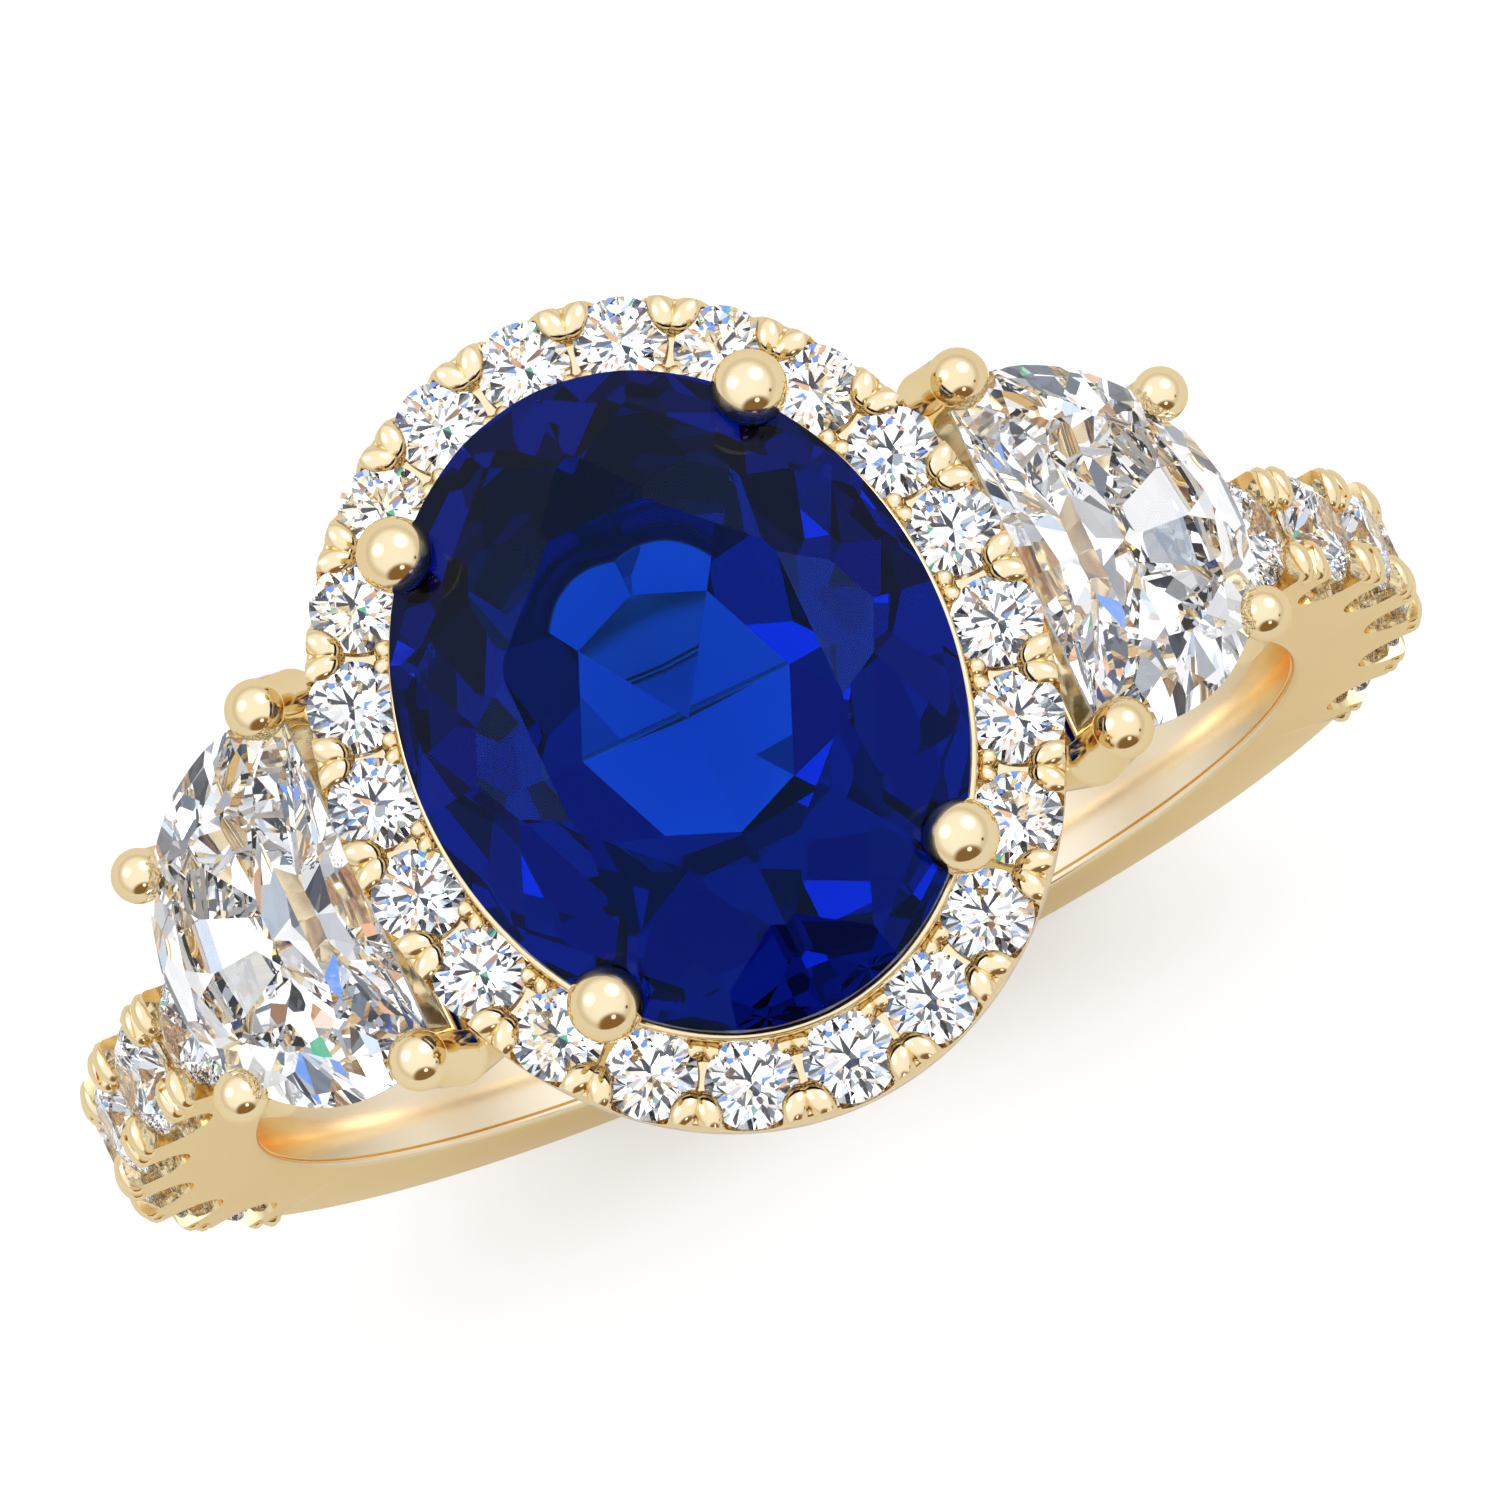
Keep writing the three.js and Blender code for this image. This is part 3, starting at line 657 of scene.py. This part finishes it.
def pave_lobe(turn, angle, side, half):
    """One half (-1 or 1) of a split prong."""
    spot = out_from_axis(angle + PAVE_LOBE_TURN * half, SHANK_RADIUS + RIM_HEIGHT - PAVE_LOBE_DROP)
    return lobe(PAVE_LOBE, turn @ spot @ Matrix.Translation((0, side * PAVE_LOBE_SIDE, 0)))


def basket_room():
    """The hole in the shank that the foot of the centre basket stands in."""
    footprint = oval_outline(BASKET_HALF[0] + SEAM, BASKET_HALF[1] + SEAM)
    return prism(traced(footprint, FOOTPRINT_STEPS), 0, BASKET_ROOM_TOP)


def halo(places):
    """The halo's metal; places go round its row, a diamond and a split prong in turn."""
    profile = rounded([
        (HALO_IN + HALO_DRAFT[1], HALO_BOTTOM, 0.06),
        (HALO_OUT - HALO_DRAFT[0], HALO_BOTTOM, 0.1),
        (HALO_OUT, HALO_RIM_TOP, 0.09),
        (CHANNEL_TOP[0], HALO_RIM_TOP, 0.06),
        (CHANNEL_FLOOR[0], HALO_SEAT, 0.03),
        (CHANNEL_FLOOR[1], HALO_SEAT, 0.03),
        (CHANNEL_TOP[1], HALO_LIP_TOP, 0.05),
        (HALO_IN, HALO_LIP_TOP, 0.06),
    ])
    piece = mesh_object("halo", sweep_oval(HALO_ROW, profile, HALO_STEPS))
    rooms, windows = [], []
    for point, out in places[::2]:
        rooms.append(moved(round_room(HALO_DIAMETER), Matrix.Translation(point + UP * HALO_GIRDLE)))
        centre = point + UP * (HALO_GIRDLE + WINDOW_LIFT)
        reach = out * WINDOW_REACH
        windows.append(rod(centre - reach, centre + reach, WINDOW_RADIUS, WINDOW_RADIUS, WINDOW_SIDES))
    stem = CENTRE_STEM + SEAM
    stems = [rod(foot, top, stem + STEM_TAPER, stem) for foot, top in centre_stems()]
    for shape in (OUTER_LOBE, INNER_LOBE):
        for half in (-1, 1):
            add(piece, merged([halo_lobe(point, out, shape, half) for point, out in places[1::2]]))
    edge = traced(oval_outline(HALO_ROW[0] + HALO_OUT, HALO_ROW[1] + HALO_OUT), HALO_STEPS)
    combine(piece, prism(edge, HALO_BOTTOM - TOOL_REACH, HALO_OUTER_TOP + TOOL_REACH), "INTERSECT")
    moons = [half_moon_room(turn) for _, turn in sides_of_ring()]
    return cut(piece, merged(rooms), merged(windows), merged(stems), merged(moons))


def halo_lobe(point, out, shape, half):
    """One half (-1 or 1) of a split prong of the halo, its length outward but turned by its lean."""
    along = UP.cross(out)
    centre = point + out * shape["out"] + along * half * shape["side"] + UP * shape["height"]
    lean = half * shape["lean"]
    length = (out * math.cos(lean) + along * math.sin(lean)).normalized()
    return lobe(shape["radii"], frame_at(centre, length.cross(UP), length, UP))


def centre_stems():
    """(foot, tip) of the four prongs of the centre head."""
    return [
        (Vector((CENTRE_FOOT.x * sx, CENTRE_FOOT.y * sy, CENTRE_FOOT.z)),
         Vector((CENTRE_PRONG.x * sx, CENTRE_PRONG.y * sy, CENTRE_PRONG.z)))
        for sx, sy in ((1, 1), (-1, 1), (-1, -1), (1, -1))
    ]


def wire_section(left, right, low, high, bottom_round, top_round):
    """The section of a bar or gallery, between two places across it and two heights."""
    return rounded([
        (left, low, bottom_round), (right, low, bottom_round),
        (right, high, top_round), (left, high, top_round),
    ])


def centre_head():
    basket = wire_section(-BASKET_WALL, 0, BASKET_FOOT, BASKET_TOP, 0, GALLERY_ROUND)
    rail = wire_section(-RAIL_WALL, 0, RAIL_BOTTOM, RAIL_TOP, WIRE_ROUND, WIRE_ROUND)
    piece = mesh_object("centre_head", sweep_oval(BASKET_HALF, basket, OVAL_STEPS))
    add(piece, sweep_oval(RAIL_HALF, rail, TURNED_SIDES))
    for foot, tip in centre_stems():
        add(piece, rod(foot, tip, CENTRE_STEM + STEM_TAPER, CENTRE_STEM), sphere(tip, CENTRE_BALL))
    room = shaped_room(oval_outline(*SAPPHIRE_HALF), SAPPHIRE_CUT)
    moved(room, Matrix.Translation((0, 0, SAPPHIRE_GIRDLE)))
    return cut(piece, room, round_finger(BORE, FINGER_REACH))


def moon_path(inset):
    """Points and outward directions round a half-moon's outline, moved in by an inset."""
    depth, width = MOON_DEPTH - inset, MOON_WIDTH - inset
    straight = MOON_STRAIGHT + inset
    reach = math.acos((straight - MOON_CENTRE) / depth)
    arc = [-reach + 2 * reach * i / MOON_ARC_STEPS for i in range(MOON_ARC_STEPS + 1)]
    points = [Vector((MOON_CENTRE + depth * math.cos(a), width * math.sin(a), 0)) for a in arc]
    corner = points[-1].y
    across = [corner * (1 - 2 * k / MOON_SIDE_STEPS) for k in range(1, MOON_SIDE_STEPS)]
    points += [Vector((straight, y, 0)) for y in across]
    count = len(points)
    outs = [(points[(i + 1) % count] - points[i - 1]).cross(UP).normalized() for i in range(count)]
    return list(zip(points, outs))


def side_head(turn):
    """A half-moon's head, made with the stone's girdle level and then tilted onto its shoulder."""
    section = wire_section(-GALLERY_WALL, 0, GALLERY_BOTTOM, GALLERY_TOP, WIRE_ROUND, GALLERY_ROUND)
    rings = [[spot + out * offset + UP * height for offset, height in section]
             for spot, out in moon_path(GALLERY_INSET)]
    piece = mesh_object("side_head", loft(rings, round_trip=True))
    for prong in (CORNER_PRONG, ARC_PRONG):
        inward = STEM_LEAN if prong["along"] < MOON_CENTRE else -STEM_LEAN
        for side in (-1, 1):
            tip = Vector((prong["along"], side * prong["side"], SIDE_GIRDLE + SIDE_BALL_HEIGHT))
            foot = Vector((tip.x + inward, tip.y - side * STEM_LEAN, GALLERY_BOTTOM + SIDE_FOOT_HEIGHT))
            knee = tip + Vector((0, side * KNEE_OUT, -KNEE_DROP))
            neck = prong["neck"]
            add(piece, rod(knee, tip, neck, neck), sphere(tip, prong["ball"]))
            add(piece, rod(foot, knee, prong["stem"], neck), sphere(knee, neck + KNEE_SWELL))
    outer = MOON_STRAIGHT - BAR_GAP
    top = SIDE_GIRDLE + BAR_TOP
    bar = wire_section(outer, outer + BAR_WIDTH, top - BAR_HEIGHT, top, WIRE_ROUND, WIRE_ROUND)
    add(piece, loft([[Vector((x, y, z)) for x, z in bar] for y in (-BAR_HALF, BAR_HALF)], round_trip=False))
    cut(piece, moved(shaped_room(moon_outline, MOON_CUT), MOON_LIFT))
    piece.data.transform(SIDE_TURN)
    cut(piece, round_finger(BRIDGE_RADIUS + SEAM, SHANK_TOOL_REACH))
    piece.data.transform(turn)
    return piece


# ---------------------------------------------------------------- materials

def node_material(name):
    """A new material with its nodes, its links and its shader."""
    material = bpy.data.materials.new(name)
    material.use_nodes = True
    nodes, links = material.node_tree.nodes, material.node_tree.links
    return material, nodes, links, nodes["Principled BSDF"]


def noise(nodes, links, scale, detail=3.0, stretch=(1, 1, 1)):
    """A noise over the ring's own space, in metres times a scale."""
    place = nodes.new("ShaderNodeTexCoord")
    mapping = nodes.new("ShaderNodeMapping")
    mapping.inputs["Scale"].default_value = stretch
    texture = nodes.new("ShaderNodeTexNoise")
    texture.inputs["Scale"].default_value = scale
    texture.inputs["Detail"].default_value = detail
    links.new(place.outputs["Object"], mapping.inputs["Vector"])
    links.new(mapping.outputs["Vector"], texture.inputs["Vector"])
    return texture.outputs["Fac"]


def ramp(nodes, links, source, stops):
    """A colour for each value of a source, by stops of (value, colour)."""
    node = nodes.new("ShaderNodeValToRGB")
    for _ in stops[2:]:
        node.color_ramp.elements.new(0.5)
    for element, (place, colour) in zip(node.color_ramp.elements, stops):
        element.position = place
        element.color = (*colour, 1)
    links.new(source, node.inputs["Fac"])
    return node.outputs["Color"]


def gold_metal(name, tones, polish):
    """Polished 14 carat gold: cloudy between two tones, with a polishing haze and hairline scratches."""
    material, nodes, links, shader = node_material(name)
    shader.inputs["Metallic"].default_value = 1.0
    shader.inputs["Specular Tint"].default_value = (1.0, 0.88, 0.64, 1)
    tone = ramp(nodes, links, noise(nodes, links, 260), [(0.35, tones[0]), (0.65, tones[1])])
    links.new(tone, shader.inputs["Base Color"])
    haze = nodes.new("ShaderNodeMapRange")
    haze.inputs["To Min"].default_value, haze.inputs["To Max"].default_value = polish
    links.new(noise(nodes, links, 900, 5.0), haze.inputs["Value"])
    links.new(haze.outputs["Result"], shader.inputs["Roughness"])
    hairlines = nodes.new("ShaderNodeBump")
    hairlines.inputs["Strength"].default_value = 0.018
    hairlines.inputs["Distance"].default_value = 0.01 * MM
    links.new(noise(nodes, links, 4000, 2.0, (1, 6, 1)), hairlines.inputs["Height"])
    links.new(hairlines.outputs["Normal"], shader.inputs["Normal"])
    return material


def clear_gem(name, colour, ior, painted_reflection_shade):
    """A polished transparent stone; its specular tint darkens and tints what its facets mirror from
    straight ahead, painted shade in the reflections that stands in for a dark flag over the stone.
    """
    material, nodes, links, shader = node_material(name)
    shader.inputs["Base Color"].default_value = (*colour, 1)
    shader.inputs["Roughness"].default_value = 0.0
    shader.inputs["IOR"].default_value = ior
    shader.inputs["Transmission Weight"].default_value = 1.0
    shader.inputs["Specular Tint"].default_value = (*painted_reflection_shade, 1)
    polish = nodes.new("ShaderNodeBump")
    polish.inputs["Strength"].default_value = 0.01
    polish.inputs["Distance"].default_value = 0.002 * MM
    links.new(noise(nodes, links, 3000), polish.inputs["Height"])
    links.new(polish.outputs["Normal"], shader.inputs["Normal"])
    return material


def absorb(material, colour, density):
    """Makes long ways through a stone darker and deeper in colour than short ones."""
    nodes, links = material.node_tree.nodes, material.node_tree.links
    volume = nodes.new("ShaderNodeVolumeAbsorption")
    volume.inputs["Color"].default_value = (*colour, 1)
    volume.inputs["Density"].default_value = density
    links.new(volume.outputs["Volume"], nodes["Material Output"].inputs["Volume"])


def frosted(material, name):
    """The ground, unpolished girdle of a stone."""
    copy = material.copy()
    copy.name = name
    copy.node_tree.nodes["Principled BSDF"].inputs["Roughness"].default_value = 0.35
    return copy


# ---------------------------------------------------------------- studio

def sky_direction(away, right, top):
    """A direction at an angle from the camera's own, towards a side of the picture."""
    back, right_axis, top_axis = camera_axes()
    sideways = (right_axis * right + top_axis * top).normalized()
    return back * math.cos(away) + sideways * math.sin(away)


def node_maths(nodes, links, operation, *values):
    """A maths node; each value is a number or another node's output."""
    node = nodes.new("ShaderNodeMath")
    node.operation = operation
    for socket, value in zip(node.inputs, values):
        if isinstance(value, (int, float)):
            socket.default_value = value
        else:
            links.new(value, socket)
    return node.outputs["Value"]


def node_mix(nodes, links, kind, factor, first, second):
    """A colour mix; each value is a number, a colour or another node's output."""
    node = nodes.new("ShaderNodeMix")
    node.data_type = "RGBA"
    node.blend_type = kind
    for socket, value in ((node.inputs[0], factor), (node.inputs[6], first), (node.inputs[7], second)):
        if isinstance(value, (int, float)):
            socket.default_value = value
        elif isinstance(value, tuple):
            socket.default_value = (*value, 1)
        else:
            links.new(value, socket)
    return node.outputs[2]


def glow(nodes, links, direction, centre, width, edge):
    """1 inside a round patch of sky, 0 outside; width and edge are angles."""
    dot = nodes.new("ShaderNodeVectorMath")
    dot.operation = "DOT_PRODUCT"
    links.new(direction, dot.inputs[0])
    dot.inputs[1].default_value = centre
    span = nodes.new("ShaderNodeMapRange")
    span.interpolation_type = "SMOOTHSTEP"
    span.inputs["From Min"].default_value = math.cos(width + edge)
    span.inputs["From Max"].default_value = math.cos(max(width - edge, 0))
    links.new(dot.outputs["Value"], span.inputs["Value"])
    return span.outputs["Result"]


def metal_sky(nodes, links, direction, height):
    """What the polished metal mirrors: a tent that is cooler and brighter overhead, and patches."""
    sky = ramp(nodes, links, height, [
        (0.0, (0.7, 0.7, 0.75)), (0.5, (0.84, 0.8, 0.76)), (0.6, (0.8, 0.77, 0.74)),
        (0.66, (0.95, 0.94, 0.96)), (0.74, (1.12, 1.17, 1.3)), (1.0, (1.2, 1.26, 1.42)),
    ])
    for away, right, top, width, edge, colour in METAL_PATCHES:
        patch = glow(nodes, links, direction, sky_direction(math.radians(away), right, top), width, edge)
        sky = node_mix(nodes, links, "MIX", patch, sky, colour)
    return sky


def stone_sky(nodes, links, direction, height):
    """What shows through the stones: bright, dark and tinted panels, dimmer low down.

    A dark disc stands for the camera, in the one place that it had in the photo.
    """
    cells = nodes.new("ShaderNodeTexVoronoi")
    cells.inputs["Scale"].default_value = 6.5
    links.new(direction, cells.inputs["Vector"])
    pick = nodes.new("ShaderNodeSeparateColor")
    links.new(cells.outputs["Color"], pick.inputs["Color"])
    panels = ramp(nodes, links, pick.outputs["Red"], [
        (0.0, (0.015, 0.02, 0.03)), (0.11, (0.14, 0.17, 0.22)), (0.18, (0.42, 0.45, 0.5)),
        (0.27, (0.75, 0.88, 1.08)), (0.37, (0.95, 0.97, 1.02)), (0.55, (1.35, 1.38, 1.4)),
        (0.94, (0.95, 0.5, 0.25)), (0.955, (0.1, 0.55, 0.3)), (0.97, (0.15, 0.35, 1.0)),
        (0.98, (4.0, 4.4, 5.0)),
    ])
    panels.node.color_ramp.interpolation = "CONSTANT"
    level = ramp(nodes, links, height, [
        (0.5, (0.1, 0.1, 0.1)), (0.57, (0.5, 0.5, 0.5)), (0.68, (0.85, 0.85, 0.85)), (0.85, (1, 1, 1)),
    ])
    sky = node_mix(nodes, links, "MULTIPLY", 1.0, panels, level)
    photo_camera = glow(nodes, links, direction, sky_direction(0, 1, 0), 0.15, 0.03)
    return node_mix(nodes, links, "MIX", photo_camera, sky, (0.02, 0.02, 0.02))


def studio_world():
    """One sky for what metal mirrors, one for what stones show, and plain white for the rest."""
    world = bpy.data.worlds.new("studio")
    bpy.context.scene.world = world
    world.use_nodes = True
    nodes, links = world.node_tree.nodes, world.node_tree.links
    background = nodes["Background"]
    direction = nodes.new("ShaderNodeTexCoord").outputs["Generated"]
    split = nodes.new("ShaderNodeSeparateXYZ")
    links.new(direction, split.inputs["Vector"])
    height = node_maths(nodes, links, "MULTIPLY_ADD", split.outputs["Z"], 0.5, 0.5)
    path = nodes.new("ShaderNodeLightPath")
    seen = metal_sky(nodes, links, direction, height)
    stones = stone_sky(nodes, links, direction, height)
    seen = node_mix(nodes, links, "MIX", path.outputs["Is Transmission Ray"], seen, stones)
    seen = node_mix(nodes, links, "MIX", path.outputs["Is Diffuse Ray"], seen, (1.3, 1.3, 1.3))
    seen = node_mix(nodes, links, "MIX", path.outputs["Is Camera Ray"], seen, (1.0, 1.0, 1.0))
    links.new(seen, background.inputs["Color"])


def studio_floor():
    """A pale floor with painted shade: darker to bounced rays so that gold mirrors a dimmer floor and keeps
    its colour, and painted dark and light patches where it shows through stones.
    """
    bm = bmesh.new()
    bmesh.ops.create_circle(bm, cap_ends=True, segments=FLOOR_SIDES, radius=FLOOR_RADIUS)
    floor = mesh_object("studio_floor", moved(bm, Matrix.Translation((0, 0, FLOOR))))
    floor.data.transform(Matrix.Scale(MM, 4))
    material, nodes, links, shader = node_material("studio_floor")
    path = nodes.new("ShaderNodeLightPath")
    seen = path.outputs["Is Camera Ray"]
    # Painted shade: the floor is pale to the camera but darker to every other ray, so the gold mirrors a
    # dimmer floor.
    tone = node_mix(nodes, links, "MIX", seen, (0.68, 0.68, 0.68), (0.93, 0.93, 0.93))
    # Painted light and shade: seen through a stone, the floor turns to dark and pale patches instead of its
    # plain tone.
    patches = nodes.new("ShaderNodeTexVoronoi")
    patches.inputs["Scale"].default_value = 430
    patch = nodes.new("ShaderNodeSeparateColor")
    links.new(patches.outputs["Color"], patch.inputs["Color"])
    through = ramp(nodes, links, patch.outputs["Green"], [
        (0.15, (0.3, 0.31, 0.34)), (0.6, (0.92, 0.92, 0.92)),
    ])
    links.new(nodes.new("ShaderNodeTexCoord").outputs["Object"], patches.inputs["Vector"])
    tone = node_mix(nodes, links, "MIX", path.outputs["Is Transmission Ray"], tone, through)
    links.new(tone, shader.inputs["Base Color"])
    shader.inputs["Roughness"].default_value = 0.9
    shader.inputs["Specular IOR Level"].default_value = 0.0
    floor.data.materials.append(material)


def camera_axes():
    """The directions to the camera, to the right of its picture and to the picture's top."""
    across = Vector((1, 0, 0))
    upward = Vector((0, math.sin(CAMERA_TILT), math.cos(CAMERA_TILT)))
    right = across * math.cos(CAMERA_ROLL) - upward * math.sin(CAMERA_ROLL)
    top = across * math.sin(CAMERA_ROLL) + upward * math.cos(CAMERA_ROLL)
    return across.cross(upward), right, top


def camera():
    """The photo's view: from almost straight above the stones, turned in the picture."""
    across = Vector((1, 0, 0))
    upward = Vector((0, math.sin(CAMERA_TILT), math.cos(CAMERA_TILT)))
    back, right, top = camera_axes()
    target = UP * SAPPHIRE_GIRDLE + across * VIEW_SHIFT[0] + upward * VIEW_SHIFT[1]
    data = bpy.data.cameras.new("camera")
    data.sensor_width = 36
    data.lens = data.sensor_width * CAMERA_DISTANCE / VIEW_WIDTH
    data.clip_start, data.clip_end = 0.01, 20
    eye = bpy.data.objects.new("camera", data)
    matrix = Matrix((right, top, back)).transposed().to_4x4()
    matrix.translation = (target + back * CAMERA_DISTANCE) * MM
    eye.matrix_world = matrix
    bpy.context.scene.collection.objects.link(eye)
    bpy.context.scene.camera = eye


# ---------------------------------------------------------------- stones in their places

def half_moon(side, turn, materials):
    moon = mesh_object(f"half_moon_{side}", shaped_stone(moon_outline, MOON_CUT))
    moon.data.transform(turn @ SIDE_TURN @ MOON_LIFT)
    finish_piece(moon, f"half_moon_{side}_look", materials)


def centre_sapphire(materials):
    stone = mesh_object("centre_sapphire", shaped_stone(oval_outline(*SAPPHIRE_HALF), SAPPHIRE_CUT))
    stone.data.transform(Matrix.Translation((0, 0, SAPPHIRE_GIRDLE)))
    finish_piece(stone, "centre_sapphire_look", materials)


def round_diamonds(name, diameter, matrices, materials):
    """Round diamonds that share one mesh, one for each (label, matrix in mm)."""
    outline = oval_outline(diameter / 2, diameter / 2)
    cut_shape = sized_round_cut(diameter / 2)
    pattern = mesh_object(name, round_brilliant(outline, eighths(), ROUND_ARC_STEPS, cut_shape))
    mesh = pattern.data
    mesh.transform(Matrix.Scale(MM, 4))
    for material in materials:
        mesh.materials.append(material)
    bpy.data.objects.remove(pattern)
    for label, matrix in matrices:
        piece = bpy.data.objects.new(f"{label}_look", mesh)
        matrix.translation *= MM
        piece.matrix_world = matrix
        bpy.context.scene.collection.objects.link(piece)
        place_piece(piece)


def halo_diamond_places(row):
    """Names and places of the halo's diamonds; every other one is turned by half a facet."""
    places = []
    for number, (point, out) in enumerate(row[::2], 1):
        facing = Matrix.Rotation(math.atan2(out.y, out.x) + (number % 2) * math.pi / 8, 4, "Z")
        seat = Matrix.Translation(point + UP * HALO_GIRDLE)
        places.append((f"halo_diamond_{number:02d}", seat @ facing))
    return places


def pave_diamond_places():
    return [
        (f"pave_diamond_{side}_{i + 1}", turn @ out_from_axis(pave_angle(i), PAVE_GIRDLE))
        for side, turn in sides_of_ring() for i in range(PAVE_COUNT)
    ]


# ---------------------------------------------------------------- assembly

camera()
studio_floor()
studio_world()
scene = bpy.context.scene
scene.view_settings.view_transform = "Standard"
scene.cycles.max_bounces = 24
scene.cycles.glossy_bounces = 16
scene.cycles.transmission_bounces = 16
scene.cycles.sample_clamp_indirect = 6

gold = gold_metal("yellow_gold", ((0.83, 0.66, 0.38), (0.87, 0.71, 0.43)), (0.05, 0.12))
# A paler, rougher copy of the gold for the inside of the band: its paler tones are painted light standing
# in for the brighter reflection there, and its duller polish is roughness.
bore_gold_painted_light = gold_metal("bore_gold_painted_light", ((0.9, 0.77, 0.55), (0.93, 0.8, 0.59)), (0.14, 0.22))
# The last colour of each stone is painted shade in its reflections: it darkens what the facets mirror, grey
# for the diamonds.
diamond = clear_gem("diamond", (1.0, 1.0, 1.0), 2.417, (0.35, 0.37, 0.4))
diamond_girdle = frosted(diamond, "diamond_girdle")
# The sapphire's last colour is a painted dark blue sheen on what its facets mirror.
sapphire = clear_gem("sapphire", (0.015, 0.14, 1.0), 1.77, (0.05, 0.1, 0.25))
absorb(sapphire, (0.0, 0.42, 0.67), 570)
sapphire_girdle = frosted(sapphire, "sapphire_girdle")

row = evenly_round_row(2 * HALO_COUNT)
ring = shank()
mark_bore(ring)
finish_piece(ring, "shank_look", [gold, bore_gold_painted_light], SHARP)
finish_piece(halo(row), "halo_look", [gold], SHARP)
finish_piece(centre_head(), "centre_head_look", [gold], SHARP)
for side, turn in sides_of_ring():
    finish_piece(side_head(turn), f"side_head_{side}_look", [gold], SHARP)

centre_sapphire([sapphire, sapphire_girdle])
round_diamonds("halo_diamond", HALO_DIAMETER, halo_diamond_places(row), [diamond, diamond_girdle])
round_diamonds("pave_diamond", PAVE_DIAMETER, pave_diamond_places(), [diamond, diamond_girdle])
for side, turn in sides_of_ring():
    half_moon(side, turn, [diamond, diamond_girdle])
